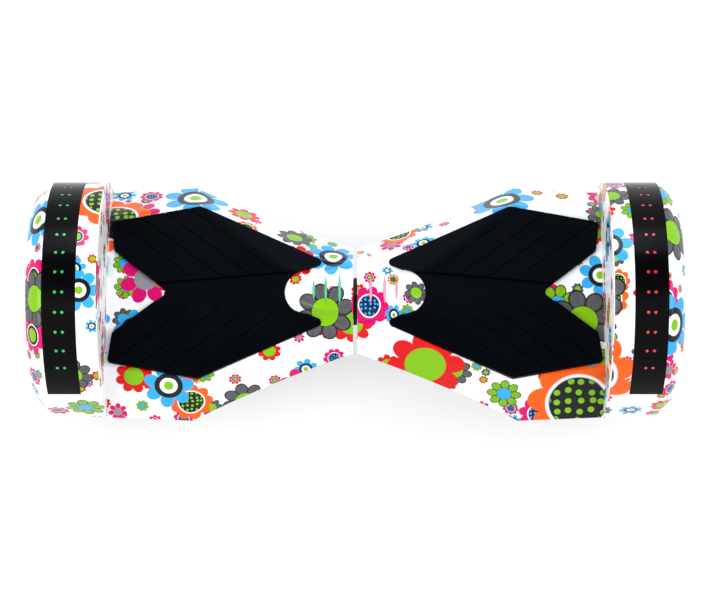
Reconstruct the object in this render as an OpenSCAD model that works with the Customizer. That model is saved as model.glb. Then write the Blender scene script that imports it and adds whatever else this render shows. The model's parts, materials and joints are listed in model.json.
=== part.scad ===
// Self-balancing hoverboard with 8 inch hub-motor wheels.
// X runs along the wheel axis, -Y is the front, +Z is up.
// The origin lies on the ground under the waist.
// Every part is drawn for the right half (X positive); the left half is its mirror image.

/* [Board] */
// Overall length over both fenders
board_len = 637; // [530:1:765]
// Depth at the shoulders, the widest place of the body
shoulder_depth = 247; // [245:1:297]
// Depth of the waist at the middle joint
waist_depth = 111; // [100:1:134]
// Length of the straight shoulder beside each fender
shoulder_len = 85; // [70:1:105]
// Gap between the two halves
waist_gap = 4.4; // [2.5:0.1:6]
// Thickness of the moulded shells
wall = 3; // [2.5:0.1:3.6]
// Height of the deck above the wheel axis
deck_rise = 18; // [16:0.5:21.6]
// Rise of the hump over the middle joint above the deck
hump_rise = 9; // [5:0.5:11]
// Depth of the body's underside below the wheel axis
belly_drop = 56; // [52:0.5:64]

/* [Fender] */
// Width of the fender drum
drum_w = 70.5; // [66:0.5:85]
// Gap between the tyre and the inside of the fender
tyre_gap = 10.5; // [6:0.5:14]
// Height of the fender's chamfer at its outer side
fender_chamfer = 15; // [10:0.5:17]
// Width of the light strip
strip_w = 32.5; // [27:0.5:36]
// Half the angle that the light strip covers
strip_angle = 72; // [60:1:80]
// Rows of light dots in each strip
dot_rows = 12; // [8:1:13]
// Radius of a light dot
dot_r = 1.6; // [1.2:0.1:1.9]

/* [Wheel] */
// Diameter of the tyre
tyre_d = 204; // [190:1:245]
// Width of the tyre
tyre_w = 50; // [44:0.5:54]
// Diameter of the motor rim that the tyre sits on
rim_d = 130; // [118:1:140]
// Diameter of the axle
axle_d = 17; // [14:0.5:20]

/* [Foot pad] */
// Half the spread of the pad's wings at their corners
wing_y = 90; // [78:1:96]
// Height of the wings above the deck
wing_h = 4; // [2.5:0.5:5]
// Travel of the pad when it is stood on
pad_travel = 1.5; // [0.8:0.1:1.8]
// Distance between the grooves along the board
groove_pitch = 31; // [24:0.5:33]

/* [Pivot] */
// Diameter of the tube that joins the halves
tube_d = 36; // [30:0.5:38]
// Wall of the tube
tube_wall = 4; // [3:0.5:5]
// Twist allowed each way between the halves
twist_limit = 12; // [8:1:14]

/* [Inside] */
// Thickness of the chassis plate
plate_t = 4; // [3:0.5:5]
// Length, width and height of the battery
battery_size = [118, 86, 37]; // [20:1:130]
// Diameter of the charging socket's mouth
socket_d = 12; // [10:0.5:14]
// Diameter of the power button's body
button_d = 16; // [12:0.5:18]
// Travel of the power button
button_travel = 1.4; // [0.8:0.1:2]

/* [Hidden] */

$fn = 64;
shell_seam = 0.3;     // gap between the upper and lower shells
slip = 0.3;           // clearance around pieces that sit in a recess
running = 0.05;       // radial clearance of a shaft in its bearing
over = 1;             // how far a cutting shape runs past what it cuts

axle_z = tyre_d / 2;
x_out = board_len / 2;
x_in = x_out - drum_w;
x_gap = waist_gap / 2;
x_shoulder = x_in - shoulder_len;
x_wheel = x_out - drum_w / 2 + 1.5;
drum_t = 3.5;
drum_r = tyre_d / 2 + tyre_gap + drum_t;
lip_r = drum_r - fender_chamfer;

deck_z = axle_z + deck_rise;
belly_z = axle_z - belly_drop;
pivot_z = axle_z - 14;
waist_y = waist_depth / 2;
shoulder_y = shoulder_depth / 2;
flank_y = drum_r + 3.5;
waist_deck_y = 35;
waist_bend = 0.81;    // share of the waist's flare that is straight; the rest curves outwards

// Foot pad outline
pad_x1 = x_in - 2;
pad_x0 = x_gap + 26;
wing_x = x_shoulder - 7;
tip_y = 31.5;
heel_y = 73;
heel_notch_y = 43;
notch_x = pad_x1 - 55;
arc_r = 23.5;
arc_x = pad_x0 + 19;
rim_round = 4;
notch_round = 5;

// Plan of the body: the seam line and the edge of the deck
function lerp(a, b, t) = a + (b - a) * min(1, max(0, t));
function along(x, x0, x1) = (x - x0) / (x1 - x0);
function seam_y(x) = x < x_shoulder
    ? let (t = along(x, x_gap, x_shoulder))
      waist_y + (shoulder_y - waist_y) * (waist_bend * t + (1 - waist_bend) * t * t)
    : lerp(shoulder_y, flank_y, along(x, x_shoulder, x_in));
function seam_z(x) = x < x_shoulder
    ? axle_z - lerp(11, 18, along(x, x_gap, x_shoulder))
    : axle_z - lerp(18, 20, along(x, x_shoulder, x_in));
function deck_y(x) = x < pad_x0 ? waist_deck_y
    : x < wing_x ? lerp(waist_deck_y, wing_y + 3, along(x, pad_x0, wing_x))
    : lerp(wing_y + 3, heel_y + 6, along(x, wing_x, x_in));
function belly_half_z(x) = lerp(belly_z + 10, belly_z, along(x, x_gap, x_shoulder * 0.75));

stations = concat([x_gap, x_gap + 14, pad_x0], [for (k = [1:5]) lerp(pad_x0, x_shoulder, k / 6)],
                  [x_shoulder, lerp(x_shoulder, x_in, 0.5), x_in]);

// One cross-section of the upper body, moved inwards by t; the lower edge is moved down by drop
function upper_section(x, t, drop) = let (yw = seam_y(x) - 1.25 * t, zw = seam_z(x) + shell_seam / 2 - drop,
        yd = deck_y(x) - 0.4 * t, zd = deck_z - t, sy = yw - yd, sz = zd - zw, b = 5 / norm([sy, sz]))
    [[-yw, zw], [-yd - sy * b, zd - sz * b], [-yd + 4, zd],
     [yd - 4, zd], [yd + sy * b, zd - sz * b], [yw, zw]];
// One cross-section of the lower body, moved inwards by t; the upper edge is moved up by rise
function lower_section(x, t, rise) = let (yw = seam_y(x) - 1.1 * t, zw = seam_z(x) - shell_seam / 2 + rise,
        ym = seam_y(x) - 9 - t, zm = seam_z(x) - side_h, zb = belly_half_z(x) + t,
        yb = seam_y(x) - 9 - (zm - belly_half_z(x)) * 1.7 - 0.8 * t)
    [[yw, zw], [ym, zm], [yb, zb], [-yb, zb], [-ym, zm], [-yw, zw]];
side_h = 22;

// The hump over the middle joint, which fills the arc between the inner tips of the pad
hump_x1 = arc_x + arc_r - 4;
hump_half = 28;
function hump_t(x) = along(x, x_gap, hump_x1);
function hump_y(x) = hump_half * sqrt(1 - pow(hump_t(x), 2.2));
function hump_h(x) = hump_rise * (1 - pow(hump_t(x), 3));
function hump_section(x, t) = let (y = hump_y(x) - 0.6 * t, z = deck_z + hump_h(x) - t,
        foot = deck_z - wall - (t > 0 ? over : 0))
    [[-y - 2, foot], [-y + 8, z], [y - 8, z], [y + 2, foot]];

// A closed solid through cross-sections that all have the same number of points
module loft(xs, sections) {
    n = len(sections[0]);
    m = len(xs);
    points = [for (i = [0:m - 1]) for (p = sections[i]) [xs[i], p[0], p[1]]];
    sides = [for (i = [0:m - 2]) for (j = [0:n - 1]) for (tri = [0, 1])
        let (a = i * n + j, b = i * n + (j + 1) % n, c = a + n, d = b + n)
        tri == 0 ? [a, b, c] : [b, d, c]];
    first = [for (j = [1:n - 2]) [0, j + 1, j]];
    last = [for (j = [1:n - 2]) [(m - 1) * n, (m - 1) * n + j, (m - 1) * n + j + 1]];
    polyhedron(points, concat(sides, first, last));
}

module upper_loft(t, x0, x1, drop = 0) {
    xs = concat([x0], [for (x = stations) if (x > x0 + 1 && x < x1 - 1) x], [x1]);
    loft(xs, [for (x = xs) upper_section(x, t, drop)]);
}

module lower_loft(t, x0, x1, rise = 0) {
    xs = concat([x0], [for (x = stations) if (x > x0 + 1 && x < x1 - 1) x], [x1]);
    loft(xs, [for (x = xs) lower_section(x, t, rise)]);
}

module hump_loft(t, x0) {
    xs = concat([x0], [for (k = [2, 4, 6, 7.5, 8.8, 9.6]) lerp(x_gap, hump_x1, k / 10)]);
    loft([for (x = xs) if (t == 0 || x < hump_x1 - 12) x],
         [for (x = xs) if (t == 0 || x < hump_x1 - 12) hump_section(x, t)]);
}

module at_axle() {
    translate([0, 0, axle_z]) children();
}

// Turns a profile of [x, radius] points about the wheel axis
module turned(profile) {
    at_axle() rotate([90, 0, 90]) rotate_extrude() polygon([for (p = profile) [p[1], p[0]]]);
}

module rod_x(x0, x1, r, z = axle_z) {
    translate([x0, 0, z]) rotate([0, 90, 0]) cylinder(h = x1 - x0, r = r);
}

module mirrored(left) {
    if (left) mirror([1, 0, 0]) children();
    else children();
}

// Foot pad outline, moved outwards by g
module pad_outline(g = 0) {
    offset(r = rim_round + g, $fn = 24) offset(delta = -rim_round)
    offset(r = -notch_round, $fn = 24) offset(delta = notch_round) difference() {
        polygon([[pad_x0, tip_y], [wing_x, wing_y], [pad_x1, heel_y], [pad_x1 - 4, heel_notch_y],
                 [notch_x - 4, 0],
                 [pad_x1 - 4, -heel_notch_y], [pad_x1, -heel_y], [wing_x, -wing_y], [pad_x0, -tip_y],
                 [arc_x, -arc_r], [arc_x, arc_r]]);
        translate([arc_x, 0]) circle(r = arc_r, $fn = 48);
    }
}

// Half-width of the channel between the wings
function channel_y(x) = lerp(20.5, 10, along(x, arc_x + arc_r, notch_x));
groove_angle = 37;
groove_y = 70;
crest_x = wing_x - 28;        // where the wing's sloping facet starts, at groove_y
facet_w = abs((pad_x0 - crest_x) * sin(groove_angle) - (tip_y - groove_y) * cos(groove_angle));
facet_tilt = atan2(wing_h - 1.2, facet_w);

pad_floor = pad_travel + 0.3;  // room under the pad
pad_base_t = 2.2;
recess_d = pad_floor + pad_base_t - 0.6;

// Chassis plate, which flares from plate_x0 to plate_x1
hub_x1 = x_gap + 66;
plate_x0 = hub_x1 - 26;
plate_x1 = x_shoulder - 13;
plate_y0 = 36;
chassis_y = 84;
// X where the plate is y wide to each side
function plate_x(y) = lerp(plate_x0, plate_x1, along(y, plate_y0, chassis_y));

// Fixings of the shells, and the pad's plungers
waist_post_y = 32;
screw_spots = [[plate_x(waist_post_y + 12), waist_post_y], [x_shoulder - 22, 69], [x_in - 48, 62]];
post_r = 4.2;
post_base_r = 6.5;
plunger_x = x_shoulder - 20;
plunger_y = 40;
plunger_r = 5;

gill_x = [13.3, 27.2, 39.2];   // distance of each slit from the joint
gill_len = [35, 31, 22];

light_x0 = x_shoulder - 92;
light_x1 = x_shoulder - 6;

// Upper shell ----------------------------------------------------------------

fender_in = drum_r - drum_t;
axle_hole_r = axle_d / 2 + 1.5;
module fender_drum() {
    crown = x_out - fender_chamfer;
    cut_z0 = axle_z - drum_r - over;
    difference() {
        turned([[x_in, drum_r - 4], [x_in + 1.2, drum_r - 1.2], [x_in + 4, drum_r], [crown, drum_r],
                [lerp(crown, x_out, 0.5), drum_r - fender_chamfer * 0.37], [x_out, lip_r],
                [x_out, lip_r - 4], [x_out - wall, lip_r - 4], [x_out - wall, lip_r - 1.5],
                [lerp(crown, x_out, 0.5) - 2, fender_in - fender_chamfer * 0.37], [crown - 2, fender_in],
                [x_in + drum_t, fender_in], [x_in + drum_t, axle_hole_r], [x_in, axle_hole_r]]);
        translate([x_in - over, -drum_r - over, cut_z0])
            cube([drum_w + 2 * over, 2 * drum_r + 2 * over, seam_z(x_in) + shell_seam / 2 - cut_z0]);
    }
}

// The lip that carries the body's seam line on round the fender
module fender_skirt() {
    for (side = [-1, 1]) {
        z0 = seam_z(x_in) + shell_seam / 2;
        near = [[fender_in + 1, z0], [flank_y, z0], [fender_in + 1, axle_z + 26]];
        far = [[fender_in + 1, z0], [drum_r + 0.2, z0], [fender_in + 1, axle_z + 3]];
        loft([x_in + 0.5, x_out - fender_chamfer], [for (s = [near, far])
            side > 0 ? [for (k = [2:-1:0]) s[k]] : [for (k = [0:2]) [-s[k][0], s[k][1]]]]);
    }
}

module pad_recess() {
    translate([0, 0, deck_z - recess_d]) linear_extrude(recess_d + over) pad_outline(slip);
}

module gill_slot(k, g, z0, z1) {
    translate([x_gap + gill_x[k], 0, z0])
        linear_extrude(z1 - z0) polygon([[0, -gill_len[k] / 2 - g], [1.5 + g, -gill_len[k] / 5],
            [1.5 + g, gill_len[k] / 5], [0, gill_len[k] / 2 + g],
            [-1.5 - g, gill_len[k] / 5], [-1.5 - g, -gill_len[k] / 5]]);
}

module strip_ring(r0, r1, x0, x1, half_angle) {
    at_axle() rotate([90, 0, 90]) rotate([0, 0, 90 - half_angle]) translate([0, 0, x0])
        rotate_extrude(angle = 2 * half_angle) translate([r0, 0]) square([r1 - r0, x1 - x0]);
}

strip_x0 = x_in + 20.5;
strip_x1 = strip_x0 + strip_w;
strip_t = 2;

module top_shell() {
    color("white") difference() {
        union() {
            difference() {
                union() {
                    upper_loft(0, x_gap, x_in + 0.5);
                    hump_loft(0, x_gap);
                    fender_drum();
                    fender_skirt();
                }
                upper_loft(wall, x_gap + wall, x_in, 3);
                hump_loft(wall, x_gap + wall);
                rod_x(x_gap - over, x_gap + wall + over, tube_d / 2 + 3, pivot_z);
            }
            intersection() {
                upper_loft(wall / 2, x_gap, x_in);
                union() {
                    translate([0, 0, deck_z - recess_d - 2]) linear_extrude(recess_d + 2) pad_outline(2.5);
                    for (p = screw_spots) for (s = [-1, 1]) translate([p[0], s * p[1], plate_top + slip])
                        cylinder(h = deck_z - plate_top, r = post_r);
                    for (s = [-1, 1]) translate([plunger_x, s * plunger_y, plate_top + 12])
                        cylinder(h = deck_z - plate_top, r = plunger_r + 3);
                }
            }
        }
        pad_recess();
        rod_x(x_in - over, x_in + drum_t + over, axle_hole_r);
        translate([x_in - over, -axle_hole_r, axle_z - 30]) cube([drum_t + 2 * over, 2 * axle_hole_r, 30]);
        for (p = screw_spots) for (s = [-1, 1]) translate([p[0], s * p[1], plate_top - over])
            cylinder(h = 12 + over, r = 1.9, $fn = 24);
        for (s = [-1, 1]) translate([plunger_x, s * plunger_y, plate_top])
            cylinder(h = deck_z, r = plunger_r + slip);
        for (k = [0:2]) gill_slot(k, 0, deck_z - wall - over, deck_z + hump_rise + over);
        strip_ring(drum_r - strip_t, drum_r + over, strip_x0 - slip / 2, strip_x1 + slip / 2,
                   strip_angle + 0.1);
    }
}

// Lower shell ----------------------------------------------------------------

// A slanted window in the front side wall, g larger all round; it follows the wall's taper
light_turn = atan2(seam_y(light_x1) - seam_y(light_x0), light_x1 - light_x0);
light_len = (light_x1 - light_x0) / cos(light_turn);
module at_light(y = 0, z = 0) {
    translate([light_x0, -seam_y(light_x0), z]) rotate([0, 0, -light_turn]) translate([0, y, 0]) children();
}

module light_window(g) {
    z = [seam_z(light_x0) - 6, seam_z(light_x1) - 6];
    at_light(20) rotate([90, 0, 0]) linear_extrude(40)
        polygon([[-g, z[0] - 3], [16, z[0] + g], [light_len + g, z[1] + g],
                 [light_len - 18, z[1] - 15 - g], [26, z[0] - 14 - g]]);
}

port_x = x_gap + 78;       // charging socket and button, on the rear of the left half
port_z = seam_z(port_x) - 16.6;
button_x = port_x + 36;
flange_r = 10;
port_pad_r = [flange_r + 5, flange_r + 2.5];   // round the socket and round the button
port_t = 14;
nut_t = 2.5;
nut_reach = 2.5;
nut_z = -port_t - nut_t - slip;
speaker_x = x_shoulder - 14;
vent_rows = 7;

function port_y(x) = seam_y(x) - 8;
// A cylinder along +Y on the port's axis, from y0 to y1 measured from the port's face
module port_rod(x, y0, y1, r) {
    translate([x, port_y(x) + y0, port_z]) rotate([-90, 0, 0]) cylinder(h = y1 - y0, r = r);
}

module bottom_shell(left) {
    color("dimgray") difference() {
        union() {
            difference() {
                lower_loft(0, x_gap, x_in + drum_t);
                lower_loft(wall, x_gap + wall, x_in, 3);
                rod_x(x_gap - over, x_gap + wall + over, tube_d / 2 + 3, pivot_z);
            }
            intersection() {
                lower_loft(wall / 2, x_gap, x_in);
                union() {
                    for (p = screw_spots) for (s = [-1, 1]) translate([p[0], s * p[1], belly_z - over]) {
                        cylinder(h = plate_top - plate_t - slip - belly_z + over, r = post_r);
                        cylinder(h = plate_top - plate_t - lip_h - 2 - belly_z + over, r = post_base_r);
                    }
                }
            }
            if (left) {
                port_rod(port_x, -port_t, 0, port_pad_r[0]);
                port_rod(button_x, -port_t, 0, port_pad_r[1]);
            }
        }
        for (p = screw_spots) for (s = [-1, 1]) {
            translate([p[0], s * p[1], belly_z - over]) cylinder(h = axle_z, r = 2.3, $fn = 24);
            translate([p[0], s * p[1], belly_z - over])
                cylinder(h = over + screw_head_z - belly_z, r = 4.3, $fn = 32);
        }
        light_window(slip);
        if (left) {
            port_rod(port_x, 0, 30, port_pad_r[0]);
            port_rod(button_x, 0, 30, port_pad_r[1]);
            port_rod(port_x, -port_t - over, over, socket_r + slip);
            port_rod(button_x, -port_t - over, over, button_d / 2 + slip);
            for (x = [port_x, button_x]) port_rod(x, -1.2, over, flange_r + slip);
        } else for (i = [0:vent_rows - 1]) translate([speaker_x - 18 + 6 * i, -14, belly_z - over])
            cube([2.5, 28, wall + 3 * over]);
    }
    if (left) color("dimgray") cap_lugs();
}
screw_head_z = belly_z + 14;

// Two lugs under the socket hold the bar of its rubber cap
module cap_lugs() {
    translate([port_x, port_y(port_x) + cap_hinge_y, cap_hinge_z]) for (side = [-1, 1])
        translate([side * 5.3 - 1, 0, 0]) rotate([0, 90, 0]) difference() {
            union() {
                cylinder(h = 2, r = 2.6);
                translate([-2.6, -cap_hinge_y - over, 0]) cube([5.2, cap_hinge_y + over, 2]);
            }
            translate([0, 0, -over]) cylinder(h = 2 + 2 * over, r = cap_bar_r + slip);
        }
}

module headlight_lens() {
    color("lightcyan") intersection() {
        difference() {
            lower_loft(0.4, x_gap, x_in);
            lower_loft(wall - 0.6, x_gap + wall, x_in, 3);
        }
        light_window(0);
    }
}

// The board stands behind the lens, on two blocks that reach the shell's inner face
module headlight_board() {
    long = light_len - 26;
    color("royalblue") intersection() {
        at_light(14, seam_z(light_x0) - 24) translate([17, 0, 0]) {
            translate([0, 1.6, 0]) cube([long, 1.6, 15]);
            for (i = [0:5]) translate([8 + i * (long - 20) / 5, 0, 5]) cube([4, 1.8, 4]);
            for (x = [0, long - 5]) translate([x, -9, 0]) cube([5, 11, 4]);
        }
        lower_loft(wall + slip, x_gap + wall, x_in);
    }
}

// Chassis --------------------------------------------------------------------

plate_top = axle_z - 6;
chassis_x1 = x_in - 2;
hub_x0 = x_gap + wall + 1;
boss_r = tube_d / 2 + 7;
block_x0 = x_in - 40;
block_y = 33;
clamp_split = 0.6;
lip_h = 4;
clamp_top = deck_z - recess_d - 2.6;

module plate_outline(inset = 0) {
    polygon([[plate_x0 + inset, -plate_y0 + inset], [plate_x1, -chassis_y + inset],
             [chassis_x1 - inset, -chassis_y + inset], [chassis_x1 - inset, chassis_y - inset],
             [plate_x1, chassis_y - inset], [plate_x0 + inset, plate_y0 - inset]]);
}

module chassis(left) {
    color("silver") difference() {
        union() {
            translate([0, 0, plate_top - plate_t]) linear_extrude(plate_t) plate_outline();
            translate([0, 0, plate_top - plate_t - lip_h])
                linear_extrude(plate_t + 2 * lip_h + 2) difference() {
                    plate_outline();
                    plate_outline(plate_t);
                }
            rod_x(hub_x0, hub_x1, boss_r, pivot_z);
            translate([block_x0, -block_y, plate_top - 26])
                cube([chassis_x1 - block_x0, 2 * block_y, axle_z - plate_top + 26]);
            for (x = [hub_x1 - 6, x_shoulder - 46, block_x0 - 6])
                translate([x, -26, plate_top - over]) cube([4, 52, 6 + over]);
        }
        rod_x(hub_x0 - over, hub_x1 + over, left ? tube_d / 2 : tube_d / 2 + bush_t, pivot_z);
        rod_x(hub_x1, hub_x1 + 12, tube_d / 2 + 4, pivot_z);
        rod_x(block_x0 - 3, chassis_x1 + over, axle_d / 2 + 0.02);
        translate([block_x0 - over, -block_y - over, axle_z - clamp_split / 2])
            cube([chassis_x1 - block_x0 + 2 * over, 2 * block_y + 2 * over, 20]);
        for (p = screw_spots) for (s = [-1, 1]) translate([p[0], s * p[1], plate_top - 20])
            cylinder(h = 40, r = 2.3, $fn = 24);
        for (x = clamp_x) for (s = [-1, 1]) translate([x, s * clamp_y, plate_top - 14])
            cylinder(h = 30, r = 3, $fn = 24);
        if (!left) pin_slot();
        translate([lightening_x, 0, plate_top - 20]) linear_extrude(40) offset(r = 6, $fn = 24)
            square([34, 50], center = true);
    }
}
clamp_x = [block_x0 + 9, chassis_x1 - 9];
clamp_y = 24;
lightening_x = lerp(hub_x1, x_shoulder - 46, 0.5);
bush_t = 2.5;
bush_len = 18;
pin_x = hub_x0 + 30;
pin_r = 3;

// The slot in the right boss that stops the limit pin at each end of the twist
module pin_slot() {
    reach = boss_r + over;
    a = twist_limit + 1 + asin((pin_r + slip) / (tube_d / 2 + bush_t));
    translate([pin_x - pin_r - 0.3, 0, pivot_z]) rotate([90, 0, 90])
        rotate([0, 0, -90 - a]) rotate_extrude(angle = 2 * a)
            translate([tube_d / 2 - 1, 0]) square([reach - tube_d / 2 + 1, 2 * pin_r + 0.6]);
}

module axle_clamp() {
    color("gray") difference() {
        translate([block_x0 + 1, -block_y, axle_z + clamp_split / 2])
            cube([chassis_x1 - block_x0 - 2, 2 * block_y, clamp_top - axle_z - clamp_split / 2]);
        rod_x(block_x0 - over, chassis_x1 + over, axle_d / 2 + 0.02);
        for (x = clamp_x) for (s = [-1, 1]) translate([x, s * clamp_y, axle_z - over]) {
            cylinder(h = 30, r = 3.2, $fn = 24);
            translate([0, 0, 6]) cylinder(h = 20, r = 5.4, $fn = 32);
        }
    }
}

// A socket-head screw that points down from z = 0 under its head
module cap_screw(r, length, head_r, head_h) {
    difference() {
        union() {
            translate([0, 0, -length]) cylinder(h = length, r = r, $fn = 24);
            cylinder(h = head_h, r = head_r, $fn = 32);
        }
        translate([0, 0, head_h * 0.4]) cylinder(h = head_h, r = head_r * 0.5, $fn = 6);
    }
}

module clamp_screws() {
    color("black") for (x = clamp_x) for (s = [-1, 1])
        translate([x, s * clamp_y, axle_z + 5]) cap_screw(2.9, 20, 5, 4.2);
}

module shell_screws() {
    color("black") for (p = screw_spots) for (s = [-1, 1])
        translate([p[0], s * p[1], screw_head_z]) mirror([0, 0, 1])
            cap_screw(1.8, plate_top + 9 - screw_head_z, 3.9, 2.6);
}

// Electronics ----------------------------------------------------------------

board_z = plate_top + 4;
board_screw_y = 52;
module sensor_board() {
    color("darkgreen") {
        difference() {
            translate([plunger_x - 15, -56, board_z]) cube([30, 112, 1.6]);
            for (s = [-1, 1]) translate([plunger_x, s * board_screw_y, board_z - over])
                cylinder(h = 5, r = 1.6, $fn = 24);
        }
        for (s = [-1, 1]) translate([plunger_x, s * board_screw_y, plate_top]) difference() {
            cylinder(h = 4, r = 3);
            translate([0, 0, -over]) cylinder(h = 6, r = 1.4, $fn = 24);
        }
        translate([plunger_x - 5, -5, board_z + 1.6]) cube([10, 10, 1.4]);
        translate([plunger_x - 12, 14, board_z + 1.6]) cube([7, 12, 5]);
        foot_gates();
    }
}

// The light gates on the board, which each plunger's shutter dips into
module foot_gates() {
    for (s = [-1, 1]) translate([plunger_x, s * plunger_y, board_z + 1.6]) difference() {
        translate([-5, -4, 0]) cube([10, 8, 6.2]);
        translate([-1.6, -5, 2]) cube([3.2, 10, 6]);
    }
}

plunger_z = plate_top + 12.8;
module pad_plungers() {
    color("whitesmoke") for (s = [-1, 1]) translate([plunger_x, s * plunger_y, 0]) {
        translate([0, 0, plunger_z + pad_travel])
            cylinder(h = pad_low - plunger_z - pad_travel, r = plunger_r);
        translate([-1, -3, board_z + 5.6 + pad_travel]) cube([2, 6, plunger_z - board_z - 5.6]);
    }
}

pad_low = deck_z - recess_d + pad_floor;
pad_top = deck_z + wing_h;
module foot_pad() {
    color("#15171b") difference() {
        translate([0, 0, pad_low]) linear_extrude(pad_top - pad_low) pad_outline(0);
        // the channel between the wings
        translate([0, 0, deck_z + 1.2]) linear_extrude(wing_h)
            polygon([[pad_x0 - 30, channel_y(arc_x + arc_r)], [arc_x + arc_r, channel_y(arc_x + arc_r)],
                     [notch_x, channel_y(notch_x)], [x_in + 10, channel_y(notch_x)],
                     [x_in + 10, -channel_y(notch_x)], [notch_x, -channel_y(notch_x)],
                     [arc_x + arc_r, -channel_y(arc_x + arc_r)], [pad_x0 - 30, -channel_y(arc_x + arc_r)]]);
        for (s = [-1, 1]) {
            // grooves across the wings
            for (k = [0:3]) translate([crest_x + 16 + k * groove_pitch, s * groove_y, pad_top - 1])
                rotate([0, 0, s * (180 + groove_angle)]) translate([-80, -0.7, 0]) cube([170, 1.4, 3]);
            // the facet that slopes down to the waist
            translate([crest_x, s * groove_y, pad_top]) rotate([0, 0, s * (180 + groove_angle)])
                rotate([s * facet_tilt, 0, 0]) translate([-100, s > 0 ? -60 : 0, 0]) cube([240, 60, 20]);
        }
    }
}
module fender_strip() {
    color("#101214") difference() {
        strip_ring(drum_r - strip_t, drum_r, strip_x0, strip_x1, strip_angle);
        dots(dot_r + 0.05, drum_r - strip_t - over, drum_r + over);
    }
}

dot_step = 2 * (strip_angle - 18.6) / (dot_rows - 1);
module dots(r, r0, r1) {
    for (k = [0:dot_rows - 1]) for (s = [-3.5, 3.5])
        translate([strip_x0 + strip_w / 2 + s, 0, axle_z]) rotate([(k - (dot_rows - 1) / 2) * dot_step, 0, 0])
            translate([0, 0, r0]) cylinder(h = r1 - r0, r = r, $fn = 16);
}

module fender_dots(left) {
    color(left ? "lime" : "red") dots(dot_r, drum_r - strip_t, drum_r - 0.3);
}

// Each light guide is a plate with one fin in each slit
guide_z = deck_z - wall + 0.5;
module gill_lights(left) {
    x0 = x_gap + 9;
    x1 = x_gap + gill_x[2] + 4;
    color(left ? "aquamarine" : "pink") {
        for (k = [0:2]) gill_slot(k, -0.15, guide_z, deck_z + hump_h(x_gap + gill_x[k]) - 0.6);
        translate([x0, -8, guide_z]) cube([x1 - x0, 16, deck_z + hump_h(x1) - wall - slip - guide_z]);
    }
}

// The battery starts where the plate is wide enough for it
battery_side = 8;
battery_x0 = max(hub_x1 + 8, plate_x(battery_size[1] / 2 + battery_side));
module battery_pack() {
    size = battery_size;
    z1 = plate_top - plate_t - slip;
    color("royalblue") {
        translate([battery_x0, -size[1] / 2, z1 - size[2]]) cube(size);
        translate([battery_x0 + size[0], -12, z1 - 18]) cube([6, 24, 10]);
    }
}

module control_board() {
    x0 = battery_x0;
    z1 = plate_top - plate_t;
    color("darkgreen") {
        translate([x0, -42, z1 - 8]) cube([112, 84, 1.6]);
        for (x = [x0 + 5, x0 + 101]) for (y = [-38, 32]) translate([x, y, z1 - 6.4]) cube([6, 6, 6.4]);
        for (i = [0:5]) translate([x0 + 14 + i * 15, 24, z1 - 23]) cube([10, 4.6, 15]);
        for (i = [0:2]) translate([x0 + 24 + i * 24, -24, z1 - 26]) cylinder(h = 18, r = 8);
        for (i = [0:3]) translate([x0 + 14 + i * 22, -4, z1 - 14]) cube([14, 8, 6]);
    }
}

module speaker() {
    z0 = belly_z + wall + slip;
    color("#222222") translate([speaker_x, 0, z0]) difference() {
        union() {
            cylinder(h = 3, r = 24);
            cylinder(h = 10, r1 = 22, r2 = 11);
            cylinder(h = 16, r = 11);
        }
        translate([0, 0, -over]) cylinder(h = 6, r1 = 19, r2 = 10);
    }
}

// Controls on the rear of the left half ---------------------------------------

stem_r = button_d / 2 - 2;
button_well = 8;
cap_proud = 1.6;
module power_switch() {
    color("silver") translate([button_x, port_y(button_x), port_z]) rotate([-90, 0, 0]) difference() {
        union() {
            translate([0, 0, -20]) cylinder(h = 20, r = button_d / 2);
            translate([0, 0, -1.1]) cylinder(h = 1.9, r = flange_r);
            translate([0, 0, nut_z]) cylinder(h = nut_t, r = button_d / 2 + nut_reach, $fn = 6);
            for (y = [-3, 3]) translate([-2, y - 0.5, -26]) cube([4, 1, 6 + over]);
        }
        translate([0, 0, -button_well]) cylinder(h = button_well + 2, r = stem_r + 0.2);
    }
}

module power_button() {
    color("gainsboro") translate([button_x, port_y(button_x), port_z]) rotate([-90, 0, 0])
        translate([0, 0, -button_well + button_travel + 0.2])
            cylinder(h = button_well - button_travel - 0.2 + cap_proud, r = stem_r);
}

pin_depth = 6;
socket_len = 22;
socket_r = socket_d / 2 + 2;
module charge_socket() {
    color("silver") translate([port_x, port_y(port_x), port_z]) rotate([-90, 0, 0]) {
        difference() {
            union() {
                translate([0, 0, -socket_len]) cylinder(h = socket_len, r = socket_r);
                translate([0, 0, -1.1]) cylinder(h = 1.9, r = flange_r);
                translate([0, 0, nut_z]) cylinder(h = nut_t, r = socket_r + nut_reach, $fn = 6);
            }
            translate([0, 0, -pin_depth]) cylinder(h = pin_depth + 2, r = socket_d / 2);
            translate([0, 0, -pin_depth - 5]) cylinder(h = 6, r = socket_d / 2 - 1);
        }
        for (a = [90, 210, 330]) rotate([0, 0, a]) translate([3, 0, -pin_depth - 6])
            cylinder(h = 5.7, r = 0.8, $fn = 24);
    }
}

// The rubber cap hangs open on its bar; turned half round, its plug closes the socket
cap_bar_r = 1.2;
cap_hinge_y = cap_bar_r + slip;
cap_reach = flange_r + 1.8;
cap_hinge_z = port_z - cap_reach;
module charge_cap() {
    face = cap_hinge_y - 0.8 - slip;    // the disc's inner face, out from the hinge
    color("#1c1c1c") translate([port_x, port_y(port_x) + cap_hinge_y, cap_hinge_z]) {
        rotate([0, 90, 0]) translate([0, 0, -6.2]) cylinder(h = 12.4, r = cap_bar_r);
        translate([-2.5, face - 1.2, -5]) cube([5, 1.2, 5]);
        translate([0, face - 2, -cap_reach]) rotate([-90, 0, 0]) {
            cylinder(h = 2, r = flange_r - 2);
            cylinder(h = 6.4, r = socket_d / 2 - 0.8);
        }
    }
}

// Motor and wheel ------------------------------------------------------------

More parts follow.
